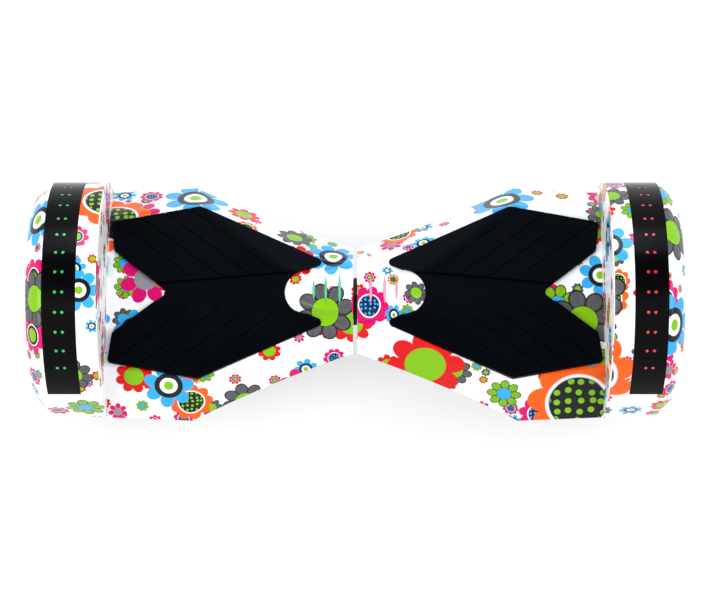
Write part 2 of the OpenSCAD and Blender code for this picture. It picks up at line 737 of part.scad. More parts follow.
rim_r = rim_d / 2;
magnet_r = rim_r - 9;
stator_r = magnet_r - 1.2;
hub_w = tyre_w - 4;
xw0 = x_wheel - hub_w / 2;
xw1 = x_wheel + hub_w / 2;
bearing_r = axle_d / 2 + 9;

module axle() {
    color("silver") difference() {
        union() {
            rod_x(block_x0 - 1.5, xw1 - 2.5, axle_d / 2);
            rod_x(xw0 + 12, xw1 - 12, axle_d / 2 + 6);
        }
        rod_x(block_x0 - 1.5 - over, x_wheel - 4, 4);
    }
}

module stator() {
    color("darkgray") at_axle() {
        difference() {
            union() {
                translate([xw0 + 13, 0, 0]) rotate([0, 90, 0]) cylinder(h = hub_w - 26, r = stator_r - 16);
                for (k = [0:17]) rotate([k * 20, 0, 0]) {
                    translate([xw0 + 13, -2.5, stator_r - 17]) cube([hub_w - 26, 5, 14]);
                }
                difference() {
                    rod_x(xw0 + 13, xw1 - 13, stator_r, 0);
                    rod_x(xw0, xw1, stator_r - 3, 0);
                    for (k = [0:17]) rotate([k * 20 + 10, 0, 0])
                        translate([xw0, -1.5, 0]) cube([hub_w, 3, stator_r + over]);
                }
            }
            rod_x(xw0, xw1, axle_d / 2 + 6.02, 0);
        }
    }
}

module windings() {
    color("peru") at_axle() for (k = [0:17]) rotate([k * 20, 0, 0]) difference() {
        translate([xw0 + 9.5, -5.2, stator_r - 15]) cube([hub_w - 19, 10.4, 11]);
        translate([xw0 + 12.9, -2.6, stator_r - 18]) cube([hub_w - 25.8, 5.2, 20]);
    }
}

module tyre() {
    w = tyre_w / 2;
    r = tyre_d / 2;
    h = (r - rim_r);
    color("#1a1a1a") difference() {
        turned([[x_wheel - w + 4, rim_r], [x_wheel - w + 1, rim_r + 4], [x_wheel - w, rim_r + h * 0.45],
                [x_wheel - w + 2, r - 10], [x_wheel - w + 6, r - 4], [x_wheel - w + 12, r - 1],
                [x_wheel - 6, r], [x_wheel + 6, r],
                [x_wheel + w - 12, r - 1], [x_wheel + w - 6, r - 4], [x_wheel + w - 2, r - 10],
                [x_wheel + w, rim_r + h * 0.45], [x_wheel + w - 1, rim_r + 4], [x_wheel + w - 4, rim_r]]);
        for (x = [-11, 11]) turned([[x_wheel + x - 1.5, r + over], [x_wheel + x - 1, r - 3.5],
                                    [x_wheel + x + 1, r - 3.5], [x_wheel + x + 1.5, r + over]]);
    }
}

module wheel_rim() {
    inner = rim_r - 4;
    drum = magnet_r + 2.6;
    color("gray") turned([[xw0, rim_r], [xw1, rim_r], [xw1, inner], [xw1 - 4, inner], [xw1 - 4, drum],
                          [xw0 + 4, drum], [xw0 + 4, inner], [xw0, inner]]);
}

module magnets() {
    n = 30;
    color("silver") at_axle() for (k = [0:n - 1]) rotate([k * 360 / n, 0, 0])
        translate([xw0 + 12, -4.6, magnet_r - 0.2]) cube([hub_w - 24, 9.2, 2.5]);
}

module cover_disc(x0, dir) {
    turned([[x0, rim_r - 4.1], [x0 + dir * 3.9, rim_r - 4.1], [x0 + dir * 3.9, bearing_r + 3],
            [x0 + dir * 10, bearing_r + 3], [x0 + dir * 10, bearing_r], [x0 + dir * 2, bearing_r],
            [x0 + dir * 2, axle_d / 2 + 1.5], [x0, axle_d / 2 + 1.5]]);
}

module hub_cover_outer() {
    color("#2a2c2f") difference() {
        union() {
            turned([[xw1, rim_r - 4.1], [xw1 - 3.9, rim_r - 4.1], [xw1 - 3.9, bearing_r + 3],
                    [xw1 - 10, bearing_r + 3], [xw1 - 10, bearing_r], [xw1 - 2, bearing_r], [xw1 - 2, 0],
                    [xw1 + 2.5, 0], [xw1 + 2.5, 17], [xw1 + 0.5, 19], [xw1, 20]]);
            for (k = [0:4]) at_axle() rotate([k * 72, 0, 0]) translate([xw1 - over, -5, 12])
                cube([over + 1.8, 10, rim_r - 27]);
        }
        for (k = [0:4]) at_axle() rotate([k * 72 + 36, 0, 0]) translate([xw1 + over, 0, rim_r * 0.56])
            rotate([0, -90, 0]) linear_extrude(2 + over) offset(r = 3, $fn = 24)
                polygon([[-10, -5], [12, -16], [12, 16], [-10, 5]]);
        hub_screw_holes(xw1);
    }
}

module hub_screw_holes(x) {
    for (k = [0:5]) at_axle() rotate([k * 60 + 6, 0, 0]) translate([x - 12, 0, rim_r - 9])
        rotate([0, 90, 0]) cylinder(h = 24, r = 1.6, $fn = 24);
}

module hub_cover_inner() {
    color("#2a2c2f") difference() {
        cover_disc(xw0, 1);
        hub_screw_holes(xw0);
    }
}

module hub_bearings() {
    outer = bearing_r - 0.02;
    race = bearing_r - 2.5;
    hub = axle_d / 2 + 3;
    bore = axle_d / 2 + running;
    color("silver") for (x = [xw0 + 2, xw1 - 9.9])
        turned([[x, outer], [x + 7.9, outer], [x + 7.9, race], [x + 7.2, race], [x + 7.2, hub], [x + 7.9, hub],
                [x + 7.9, bore], [x, bore], [x, hub], [x + 0.7, hub], [x + 0.7, race], [x, race]]);
}

module hub_screws() {
    color("silver") for (k = [0:5]) at_axle() rotate([k * 60 + 6, 0, 0]) {
        translate([xw1, 0, rim_r - 9]) rotate([0, 90, 0]) cap_screw(1.5, 3.8, 2.8, 1.6);
        translate([xw0, 0, rim_r - 9]) rotate([0, -90, 0]) cap_screw(1.5, 3.8, 2.8, 1.6);
    }
}

// Pivot between the halves -----------------------------------------------------

tube_x0 = -hub_x1 - 4;
tube_x1 = hub_x1 + 8;
module pivot_tube() {
    color("lightgray") difference() {
        rod_x(tube_x0, tube_x1, tube_d / 2, pivot_z);
        rod_x(tube_x0 - over, tube_x1 + over, tube_d / 2 - tube_wall, pivot_z);
        translate([tube_x1 - 6, 0, pivot_z]) rotate([0, 90, 0]) difference() {
            cylinder(h = 2, r = tube_d / 2 + over);
            translate([0, 0, -over]) cylinder(h = 4, r = tube_d / 2 - 1.5);
        }
        translate([pin_x, 0, pivot_z - tube_d / 2 - over]) cylinder(h = tube_wall + 3, r = pin_r, $fn = 32);
    }
}

module pivot_bushes() {
    color("darkgoldenrod") for (x = [hub_x0, hub_x1 - bush_len]) difference() {
        rod_x(x, x + bush_len, tube_d / 2 + bush_t, pivot_z);
        rod_x(x - over, x + bush_len + over, tube_d / 2 + running, pivot_z);
    }
}

module pivot_seal() {
    color("#202020") difference() {
        rod_x(-x_gap + slip, x_gap - slip, tube_d / 2 + 6, pivot_z);
        rod_x(-x_gap, x_gap, tube_d / 2 + running, pivot_z);
    }
}

module retaining_ring() {
    color("dimgray") translate([tube_x1 - 5.9, 0, pivot_z]) rotate([0, 90, 0]) difference() {
        cylinder(h = 1.8, r = tube_d / 2 + 3);
        translate([0, 0, -over]) cylinder(h = 4, r = tube_d / 2 - 1.45);
        rotate([0, 0, 180]) translate([0, -4, -over]) cube([tube_d, 8, 4]);
    }
}

module limit_pin() {
    color("silver") translate([pin_x, 0, pivot_z - boss_r + 1])
        cylinder(h = boss_r - tube_d / 2 + tube_wall, r = pin_r - 0.02, $fn = 32);
}

// Node tree --------------------------------------------------------------------

mirrored(true) top_shell();  // top_shell_left
mirrored(false) top_shell();  // top_shell_right
mirrored(true) bottom_shell(true);  // bottom_shell_left
mirrored(false) bottom_shell(false);  // bottom_shell_right
mirrored(true) foot_pad();  // foot_pad_left
mirrored(false) foot_pad();  // foot_pad_right
mirrored(true) pad_plungers();  // pad_plungers_left
mirrored(false) pad_plungers();  // pad_plungers_right
mirrored(true) fender_strip();  // fender_strip_left
mirrored(false) fender_strip();  // fender_strip_right
mirrored(true) fender_dots(true);  // fender_dots_left
mirrored(false) fender_dots(false);  // fender_dots_right
mirrored(true) gill_lights(true);  // gill_lights_left
mirrored(false) gill_lights(false);  // gill_lights_right
mirrored(true) headlight_lens();  // headlight_lens_left
mirrored(false) headlight_lens();  // headlight_lens_right
mirrored(true) headlight_board();  // headlight_board_left
mirrored(false) headlight_board();  // headlight_board_right
mirrored(true) chassis(true);  // chassis_left
mirrored(false) chassis(false);  // chassis_right
mirrored(true) axle_clamp();  // axle_clamp_left
mirrored(false) axle_clamp();  // axle_clamp_right
mirrored(true) clamp_screws();  // clamp_screws_left
mirrored(false) clamp_screws();  // clamp_screws_right
mirrored(true) shell_screws();  // shell_screws_left
mirrored(false) shell_screws();  // shell_screws_right
mirrored(true) sensor_board();  // sensor_board_left
mirrored(false) sensor_board();  // sensor_board_right
mirrored(true) axle();  // axle_left
mirrored(false) axle();  // axle_right
mirrored(true) stator();  // stator_left
mirrored(false) stator();  // stator_right
mirrored(true) windings();  // windings_left
mirrored(false) windings();  // windings_right
mirrored(true) tyre();  // tyre_left
mirrored(false) tyre();  // tyre_right
mirrored(true) wheel_rim();  // wheel_rim_left
mirrored(false) wheel_rim();  // wheel_rim_right
mirrored(true) magnets();  // magnets_left
mirrored(false) magnets();  // magnets_right
mirrored(true) hub_cover_outer();  // hub_cover_outer_left
mirrored(false) hub_cover_outer();  // hub_cover_outer_right
mirrored(true) hub_cover_inner();  // hub_cover_inner_left
mirrored(false) hub_cover_inner();  // hub_cover_inner_right
mirrored(true) hub_bearings();  // hub_bearings_left
mirrored(false) hub_bearings();  // hub_bearings_right
mirrored(true) hub_screws();  // hub_screws_left
mirrored(false) hub_screws();  // hub_screws_right
pivot_tube();
pivot_bushes();
pivot_seal();
retaining_ring();
limit_pin();
mirrored(true) battery_pack();
control_board();
speaker();
mirrored(true) power_switch();
mirrored(true) power_button();
mirrored(true) charge_socket();
mirrored(true) charge_cap();
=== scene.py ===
"""Self-balancing hoverboard: printed shells, rubber pads, tyres, lights and every other finish.

X runs along the wheel axis, -Y is the front and +Z is up, in metres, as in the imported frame.
Most shapes are drawn for the right half and mirrored to the left one.
"""

from __future__ import annotations

import json
import logging
import math
from collections.abc import Callable, Sequence
from dataclasses import dataclass
from enum import Enum

import bmesh
import bpy
from mathutils import Matrix, Vector

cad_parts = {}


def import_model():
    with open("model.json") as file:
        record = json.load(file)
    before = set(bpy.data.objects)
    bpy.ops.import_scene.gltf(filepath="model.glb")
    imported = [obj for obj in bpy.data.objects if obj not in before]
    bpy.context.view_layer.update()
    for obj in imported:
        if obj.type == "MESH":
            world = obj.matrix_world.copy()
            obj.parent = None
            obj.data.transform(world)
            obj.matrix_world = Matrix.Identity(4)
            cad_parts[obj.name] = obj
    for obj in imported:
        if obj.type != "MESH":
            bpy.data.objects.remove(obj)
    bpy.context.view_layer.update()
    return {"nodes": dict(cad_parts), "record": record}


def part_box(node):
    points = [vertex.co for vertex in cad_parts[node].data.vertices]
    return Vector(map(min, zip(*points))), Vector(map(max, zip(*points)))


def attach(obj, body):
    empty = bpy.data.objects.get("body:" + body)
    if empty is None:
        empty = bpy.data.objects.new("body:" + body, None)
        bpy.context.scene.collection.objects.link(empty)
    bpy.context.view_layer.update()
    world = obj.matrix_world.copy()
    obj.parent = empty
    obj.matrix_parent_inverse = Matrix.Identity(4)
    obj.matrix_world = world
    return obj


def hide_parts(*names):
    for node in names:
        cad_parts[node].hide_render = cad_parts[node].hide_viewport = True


LOG = logging.getLogger("hoverboard")
PRINT_MAP = "print"
Colour = tuple[float, float, float]


class Side(Enum):
    """The two halves of the board, with the sign of their X."""

    LEFT = -1
    RIGHT = 1

    @property
    def tag(self) -> str:
        """The ending of this side's node names."""
        return self.name.lower()


# Shader graph ---------------------------------------------------------------


def _operator(operation: str) -> Callable[..., Signal]:
    """Returns a method that applies a Math node of this operation to a signal and other values."""

    def apply(self: Signal, *others: Signal | float) -> Signal:
        """Adds the Math node and returns its result."""
        return self.graph.node("ShaderNodeMath", {"operation": operation}, [self, *others])

    return apply


class Signal:
    """One output socket, or a plain number, that arithmetic operators turn into Math nodes."""

    __add__ = __radd__ = _operator("ADD")
    __sub__ = _operator("SUBTRACT")
    __mul__ = __rmul__ = _operator("MULTIPLY")
    __truediv__ = _operator("DIVIDE")
    __lt__ = _operator("LESS_THAN")
    abs, sin, cos, sqrt = map(_operator, ("ABSOLUTE", "SINE", "COSINE", "SQRT"))
    arctan2, wrap, min, max = map(_operator, ("ARCTAN2", "WRAP", "MINIMUM", "MAXIMUM"))

    def __init__(self, graph: Graph, value: bpy.types.NodeSocket | float) -> None:
        """Keeps the graph that new nodes are added to and the socket or number."""
        self.graph = graph
        self.value = value

    def __rsub__(self, other: float) -> Signal:
        """other - self."""
        return Signal(self.graph, other) - self

    def __rtruediv__(self, other: float) -> Signal:
        """other / self."""
        return Signal(self.graph, other) / self

    def step(self, edge: float, soft: float) -> Signal:
        """Rises smoothly from 0 to 1 across an edge.

        Args:
            edge: The value at the middle of the rise.
            soft: Half the width of the rise.

        Returns:
            The signal between 0 and 1.
        """
        settings = {"interpolation_type": "SMOOTHSTEP"}
        inputs = {"Value": self, "From Min": edge - soft, "From Max": edge + soft}
        return self.graph.node("ShaderNodeMapRange", settings, inputs)


Values = dict[str | int, object] | Sequence[object]


class Graph:
    """A material's node tree with one Principled shader and one way to add other nodes."""

    def __init__(self, name: str) -> None:
        """Makes the material, empty but for its shader and output."""
        self.material = bpy.data.materials.new(name)
        self.material.use_nodes = True
        self.tree = self.material.node_tree
        self.tree.nodes.clear()
        self.shader = self.tree.nodes.new("ShaderNodeBsdfPrincipled")
        output = self.tree.nodes.new("ShaderNodeOutputMaterial")
        self.tree.links.new(self.shader.outputs[0], output.inputs["Surface"])

    def plug(self, socket: bpy.types.NodeSocket, value: object) -> None:
        """Sets a socket's value, or links the signal's output to it."""
        if isinstance(value, Signal):
            value = value.value
        if isinstance(value, bpy.types.NodeSocket):
            self.tree.links.new(value, socket)
        elif isinstance(value, (tuple, list)) and socket.type == "RGBA" and len(value) == 3:
            socket.default_value = (*value, 1.0)
        else:
            socket.default_value = value

    def node(self, kind: str, settings: dict[str, object], inputs: Values, output: str | int = 0) -> Signal:
        """Adds a node of any type.

        Args:
            kind: The node's type.
            settings: Its properties; for a ramp, "ramp" is its interpolation and "stops" its colours.
            inputs: Values or signals for its sockets, by name or number, or in order.
            output: The name or number of the output to return.

        Returns:
            The chosen output as a signal.
        """
        made = self.tree.nodes.new(kind)
        for key, value in settings.items():
            if key == "stops":
                self._stops(made.color_ramp, value)
            elif key == "ramp":
                made.color_ramp.interpolation = value
            else:
                setattr(made, key, value)
        pairs = inputs.items() if isinstance(inputs, dict) else enumerate(inputs)
        for key, value in pairs:
            self.plug(made.inputs[key], value)
        return Signal(self, made.outputs[output])

    @staticmethod
    def _stops(ramp: bpy.types.ColorRamp, stops: Sequence[tuple[float, Colour]]) -> None:
        """Gives a colour ramp exactly these stops."""
        while len(ramp.elements) > 1:
            ramp.elements.remove(ramp.elements[-1])
        for number, (place, colour) in enumerate(stops):
            element = ramp.elements[0] if number == 0 else ramp.elements.new(place)
            element.position = place
            element.color = (*colour, 1.0)

    def mix(self, factor: Signal | float, first: object, second: object) -> Signal:
        """Returns a colour that goes from first to second as factor goes from 0 to 1."""
        settings = {"data_type": "RGBA"}
        return self.node("ShaderNodeMix", settings, {0: factor, 6: first, 7: second}, 2)

    def blend(self, factor: Signal | float, first: object, second: object) -> Signal:
        """Returns a number that goes from first to second as factor goes from 0 to 1."""
        return self.node("ShaderNodeMix", {"data_type": "FLOAT"}, {0: factor, 2: first, 3: second})

    def vector(self, operation: str, *inputs: object) -> Signal:
        """Returns a Vector Math node's vector."""
        return self.node("ShaderNodeVectorMath", {"operation": operation}, list(inputs))

    def length(self, vector: Signal) -> Signal:
        """Returns a vector's length."""
        return self.node("ShaderNodeVectorMath", {"operation": "LENGTH"}, [vector], "Value")

    def place(self) -> Signal:
        """Returns the object coordinates."""
        return self.node("ShaderNodeTexCoord", {}, {}, "Object")

    def stretched(self, scale: tuple[float, float, float]) -> Signal:
        """Returns the object coordinates scaled along each axis."""
        return self.node("ShaderNodeMapping", {}, {"Vector": self.place(), "Scale": scale})

    def noise(self, vector: Signal, scale: float, detail: float = 3.0) -> Signal:
        """Returns a noise between 0 and 1, of this many features to the metre."""
        inputs = {"Vector": vector, "Scale": scale, "Detail": detail}
        return self.node("ShaderNodeTexNoise", {}, inputs)

    def bump(self, height: Signal, depth: float) -> None:
        """Feeds a height into the shader's normal, depth metres from 0 to 1."""
        inputs = {"Distance": depth, "Height": height}
        self.shade({"Normal": self.node("ShaderNodeBump", {}, inputs)})

    def shade(self, inputs: dict[str, object]) -> None:
        """Sets or links the shader's own sockets."""
        for key, value in inputs.items():
            self.plug(self.shader.inputs[key], value)


# Finishes -------------------------------------------------------------------


@dataclass(frozen=True)
class Finish:
    """A named finish; each kind lays its own nodes."""

    name: str

    def material(self) -> bpy.types.Material:
        """Returns the finish as a material."""
        graph = Graph(self.name)
        self._lay(graph)
        return graph.material

    def _lay(self, graph: Graph) -> None:
        """Adds the finish's nodes."""
        raise NotImplementedError


@dataclass(frozen=True)
class Moulded(Finish):
    """Moulded plastic or rubber: an even colour with a fine grain and slight cloudiness."""

    colour: Colour
    roughness: float = 0.35
    grain: float = 900.0
    depth: float = 0.00006
    coat: float = 0.0
    cloud: float = 0.15
    sheen: float = 0.0
    specular: float = 0.5

    def _lay(self, graph: Graph) -> None:
        """Adds the finish's nodes."""
        place = graph.place()
        cloud = graph.noise(place, 22.0)
        fine = graph.noise(place, self.grain, 2.0)
        dark = tuple(c * (1 - self.cloud) for c in self.colour)
        light = tuple(min(1.0, c * (1 + self.cloud) + 0.0005) for c in self.colour)
        rough = (cloud - 0.5) * 0.12 + (fine - 0.5) * 0.08 + self.roughness
        graph.shade({
            "Base Color": graph.mix(cloud, dark, light), "Roughness": rough,
            "Coat Weight": self.coat, "Coat Roughness": 0.06, "Sheen Weight": self.sheen,
            "Specular IOR Level": self.specular,
        })
        graph.bump(fine, self.depth)


@dataclass(frozen=True)
class Metal(Finish):
    """Bare metal with drawn or cast marks."""

    colour: Colour
    roughness: float = 0.3
    stretch: tuple[float, float, float] = (40.0, 900.0, 900.0)
    depth: float = 0.00003

    def _lay(self, graph: Graph) -> None:
        """Adds the finish's nodes."""
        marks = graph.noise(graph.stretched(self.stretch), 1.0, 4.0)
        stain = graph.noise(graph.place(), 30.0)
        dull = tuple(c * 0.72 for c in self.colour)
        graph.shade({
            "Base Color": graph.mix(stain, dull, self.colour), "Metallic": 1.0,
            "Roughness": (marks - 0.5) * 0.25 + (stain - 0.5) * 0.15 + self.roughness,
        })
        graph.bump(marks, self.depth)


@dataclass(frozen=True)
class Glow(Finish):
    """A lit lens or lamp: coloured plastic whose glow varies in soft clouds."""

    colour: Colour
    body: Colour
    strength: float

    def _lay(self, graph: Graph) -> None:
        """Adds the finish's nodes."""
        place = graph.place()
        cloud = graph.noise(place, 160.0)
        fine = graph.noise(place, 700.0)
        shine = graph.mix(cloud, tuple(c * 0.7 for c in self.colour), self.colour)
        graph.shade({
            "Base Color": graph.mix(cloud, self.body, tuple(c * 0.85 for c in self.body)),
            "Emission Color": shine, "Emission Strength": self.strength,
            "Roughness": (fine - 0.5) * 0.1 + 0.15, "Coat Weight": 1.0,
        })
        graph.bump(fine, 0.00003)


@dataclass(frozen=True)
class ClearLens(Finish):
    """Clear moulded plastic with fine upright flutes behind a smooth face."""

    tint: Colour
    flutes: float = 1300.0

    def _lay(self, graph: Graph) -> None:
        """Adds the finish's nodes."""
        across = graph.node("ShaderNodeSeparateXYZ", {}, [graph.place()], "X")
        ridge = (across * self.flutes).sin() * 0.5 + 0.5
        graph.shade({
            "Base Color": graph.mix(ridge, self.tint, tuple(c * 0.8 for c in self.tint)),
            "Roughness": ridge * 0.12 + 0.05, "IOR": 1.49, "Transmission Weight": 0.75,
            "Coat Weight": 1.0, "Coat Roughness": 0.03,
        })
        graph.bump(ridge, 0.00015)


@dataclass(frozen=True)
class CircuitBoard(Finish):
    """Solder-masked board with copper tracks and pads."""

    mask: Colour = (0.004, 0.07, 0.03)

    def _lay(self, graph: Graph) -> None:
        """Adds the finish's nodes."""
        place = graph.place()
        inputs = {
            "Vector": place, "Scale": 1.0, "Mortar Size": 0.0006, "Brick Width": 0.011,
            "Row Height": 0.0045, "Mortar Smooth": 0.1,
        }
        track = graph.node("ShaderNodeTexBrick", {}, inputs, "Fac")
        cells = {"Vector": place, "Scale": 260.0, "Randomness": 0.6}
        pads = graph.node("ShaderNodeTexVoronoi", {}, cells, "Distance") < 0.16
        tint = graph.mix(track * 0.6, self.mask, (0.03, 0.2, 0.08))
        graph.shade({
            "Base Color": graph.mix(pads, tint, (0.75, 0.55, 0.28)),
            "Metallic": pads, "Roughness": 0.35 - pads * 0.1, "Coat Weight": 0.6,
        })
        graph.bump(track.max(pads), 0.00008)


@dataclass(frozen=True)
class Wound(Finish):
    """Enamelled wire or stacked sheet: fine parallel lines on metal."""

    colour: Colour
    gap: Colour
    pitch: float
    axis: str = "X"

    def _lay(self, graph: Graph) -> None:
        """Adds the finish's nodes."""
        along = graph.node("ShaderNodeSeparateXYZ", {}, [graph.place()], self.axis)
        line = (along * (math.tau / self.pitch)).sin() * 0.5 + 0.5
        stain = graph.noise(graph.place(), 60.0)
        graph.shade({
            "Base Color": graph.mix(line.step(0.25, 0.25), self.gap, self.colour), "Metallic": 0.9,
            "Roughness": stain * 0.2 + 0.25, "Coat Weight": 0.3,
        })
        graph.bump(line, self.pitch * 0.3)


@dataclass(frozen=True)
class ShrinkWrap(Finish):
    """Shrink film pulled over rows of round cells."""

    colour: Colour
    cell: float = 0.0186

    def _lay(self, graph: Graph) -> None:
        """Adds the finish's nodes."""
        place = graph.place()
        across = graph.node("ShaderNodeSeparateXYZ", {}, [place], "Y")
        cell = (across * (math.pi / self.cell)).sin().abs()
        crease = graph.noise(graph.stretched((20.0, 160.0, 160.0)), 1.0, 5.0)
        graph.shade({
            "Base Color": graph.mix(crease, self.colour, tuple(c * 0.6 for c in self.colour)),
            "Roughness": crease * 0.3 + 0.2, "Coat Weight": 0.5,
        })
        graph.bump(cell * 0.8 + crease * 0.2, 0.0012)


class Bloom(Enum):
    """The flowers of the print, in the order of the ramps."""

    GREY_LIME = 0
    SKY_EYE = 1
    PINK_RING = 2
    ORANGE_DOTS = 3
    LIME_SKY = 4
    RED_LIME = 5
    PINK_GREY = 6
    PINK_BERRY = 7


WHITE: Colour = (0.86, 0.86, 0.87)
INK: Colour = (0.008, 0.009, 0.012)
LIME: Colour = (0.2, 0.47, 0.003)
SKY: Colour = (0.03, 0.36, 0.74)
PINK: Colour = (0.62, 0.002, 0.13)
RED: Colour = (0.64, 0.003, 0.004)
ORANGE: Colour = (0.92, 0.105, 0.004)
GREY: Colour = (0.098, 0.098, 0.102)
NAVY: Colour = (0.01, 0.014, 0.05)
SILVER: Colour = (0.25, 0.24, 0.26)


@dataclass(frozen=True)
class Petals:
    """How one kind of flower is coloured: petals, then four zones from the rim to the pupil."""

    petal: Colour
    zones: tuple[Colour, Colour, Colour, Colour]
    outlined: bool = False
    dotted: Colour | None = None
    disc: float = 0.47
    count: int = 8


BLOOMS: dict[Bloom, Petals] = {
    Bloom.GREY_LIME: Petals(GREY, (LIME, LIME, LIME, LIME), outlined=True),
    Bloom.SKY_EYE: Petals(SKY, (INK, INK, WHITE, LIME), disc=0.56, count=7),
    Bloom.PINK_RING: Petals(PINK, (WHITE, INK, LIME, LIME), disc=0.54),
    Bloom.ORANGE_DOTS: Petals(ORANGE, (WHITE, INK, INK, INK), dotted=LIME, disc=0.64, count=9),
    Bloom.LIME_SKY: Petals(LIME, (SKY, SKY, SKY, SKY), outlined=True, disc=0.42),
    Bloom.RED_LIME: Petals(RED, (LIME, LIME, LIME, LIME), disc=0.52),
    Bloom.PINK_GREY: Petals(PINK, (SILVER, SILVER, SILVER, SILVER), disc=0.44, count=7),
    Bloom.PINK_BERRY: Petals(PINK, (WHITE, NAVY, NAVY, NAVY), dotted=SKY, disc=0.58, count=9),
}


@dataclass(frozen=True)
class Hero:
    """One large flower at a chosen place on the print: across, round, radius and kind."""

    across: float
    around: float
    radius: float
    kind: Bloom


@dataclass(frozen=True)
class Scatter:
    """One size of scattered flower: cell size, largest radius, share of cells filled, seed shift."""

    cell: float
    radius: float
    filled: float
    shift: float


@dataclass(frozen=True)
class FlowerPrint(Finish):
    """White clear-coated plastic printed all over with flat, bright flowers.

    The print lies on a map in metres: across is X, and around runs round the section from the
    middle of the deck, so it meets itself over every edge of the shell.
    """

    heroes: tuple[Hero, ...]
    scatters: tuple[Scatter, ...]
    petal_middle: float = 0.66
    petal_half: float = 0.34
    petal_stretch: float = 0.84
    outline: float = 0.075
    veins: float = 26.0
    vein_depth: float = 0.22
    zone_edges: tuple[float, float, float] = (0.88, 0.62, 0.33)
    zone_soft: float = 0.03
    line_soft: float = 0.02
    dot_scale: float = 4.6
    dot_size: float = 0.29
    dotted_reach: float = 0.84
    disc_line: float = 0.94
    disc_edge: float = 0.98
    hero_turn: float = 9.0
    widest_count: float = 10.0

    def _by_kind(self, graph: Graph, kind: Signal, colours: Sequence[Colour]) -> Signal:
        """Returns the colour of this kind out of a list in the order of Bloom."""
        count = len(colours)
        stops = [(number / count, colour) for number, colour in enumerate(colours)]
        settings = {"ramp": "CONSTANT", "stops": stops}
        return graph.node("ShaderNodeValToRGB", settings, [kind])

    def _bloom(
        self, graph: Graph, offset: Signal, kind: Signal, turn: Signal | float,
    ) -> tuple[Signal, Signal]:
        """Draws one flower of radius 1 round the origin.

        Args:
            graph: The material's nodes.
            offset: The place measured from the flower's middle, in radii.
            kind: Which flower it is, from 0 to 1.
            turn: How far it is turned, in radians.

        Returns:
            The flower's colour and its mask.
        """
        def level(read: Callable[[Petals], float]) -> Signal:
            """Returns a number of this kind as a grey level."""
            return self._by_kind(graph, kind, [(read(b),) * 3 for b in blooms])

        blooms = [BLOOMS[bloom] for bloom in Bloom]
        soft, size = self.line_soft, self.petal_half
        across, along = self._split(graph, offset)
        reach = graph.length(offset)
        angle = along.arctan2(across) + turn
        half = math.pi / (level(lambda b: b.count / self.widest_count) * self.widest_count)
        folded = angle.wrap(half, 0.0 - half)
        beside = folded.sin() * reach / self.petal_stretch
        ahead = folded.cos() * reach - self.petal_middle
        petal = (beside * beside + ahead * ahead).sqrt()
        petal_mask = 1.0 - petal.step(size - soft, soft)
        line = petal.step(size - self.outline, soft)
        outlined = level(lambda b: float(b.outlined))
        vein = (folded.abs() * self.veins).sin() * 0.5 + 0.5
        tint = self._by_kind(graph, kind, [b.petal for b in blooms])
        shaded = graph.mix(vein * outlined * self.vein_depth, tint, INK)
        colour = graph.mix(line * outlined, shaded, INK)
        inner = reach / level(lambda b: b.disc)
        zones = [self._by_kind(graph, kind, [b.zones[zone] for b in blooms]) for zone in range(4)]
        disc = zones[0]
        for zone, edge in zip(zones[1:], self.zone_edges):
            disc = graph.mix(1.0 - inner.step(edge, self.zone_soft), disc, zone)
        spots = {"Vector": offset, "Scale": self.dot_scale, "Randomness": 0.35}
        spot = graph.node("ShaderNodeTexVoronoi", {"voronoi_dimensions": "2D"}, spots, "Distance")
        dotted = level(lambda b: float(bool(b.dotted)))
        dot_tint = self._by_kind(graph, kind, [b.dotted or INK for b in blooms])
        round_dot = 1.0 - spot.step(self.dot_size, self.zone_soft)
        inside = 1.0 - inner.step(self.dotted_reach, self.zone_soft)
        disc = graph.mix(round_dot * inside * dotted, disc, dot_tint)
        disc = graph.mix(inner.step(self.disc_line, soft) * outlined, disc, INK)
        disc_mask = 1.0 - inner.step(self.disc_edge, self.zone_soft)
        return graph.mix(disc_mask, colour, disc), petal_mask.max(disc_mask)

    @staticmethod
    def _split(graph: Graph, vector: Signal) -> tuple[Signal, Signal]:
        """Returns a vector's X and Y."""
        split = graph.node("ShaderNodeSeparateXYZ", {}, [vector])
        return split, Signal(graph, split.value.node.outputs["Y"])

    def _scattered(self, graph: Graph, sheet: Signal, scatter: Scatter) -> tuple[Signal, Signal]:
        """Returns the colour and mask of one size of scattered flowers."""
        scale = 1.0 / scatter.cell
        moved = graph.vector("ADD", sheet, (scatter.shift, scatter.shift * 0.7, 0.0))
        cell = {"Vector": moved, "Scale": scale, "Randomness": 0.75}
        settings = {"voronoi_dimensions": "2D", "feature": "F1"}
        draw = graph.node("ShaderNodeTexVoronoi", settings, cell, "Color")
        node = draw.value.node
        middle = Signal(graph, node.outputs["Position"])
        spacing = {**settings, "feature": "N_SPHERE_RADIUS"}
        near = graph.node("ShaderNodeTexVoronoi", spacing, cell, "Radius")
        chance = graph.node("ShaderNodeSeparateColor", {}, [draw])
        turn = Signal(graph, chance.value.node.outputs["Green"])
        pick = Signal(graph, chance.value.node.outputs["Blue"])
        radius = (near * (scatter.cell * 1.04)).min(scatter.radius)
        offset = graph.vector("SUBTRACT", moved, middle)
        shrink = 1.0 / radius
        unit = graph.vector("SCALE", offset)
        graph.plug(unit.value.node.inputs["Scale"], shrink)
        colour, mask = self._bloom(graph, unit, pick, turn * math.tau)
        return colour, mask * (chance < scatter.filled)

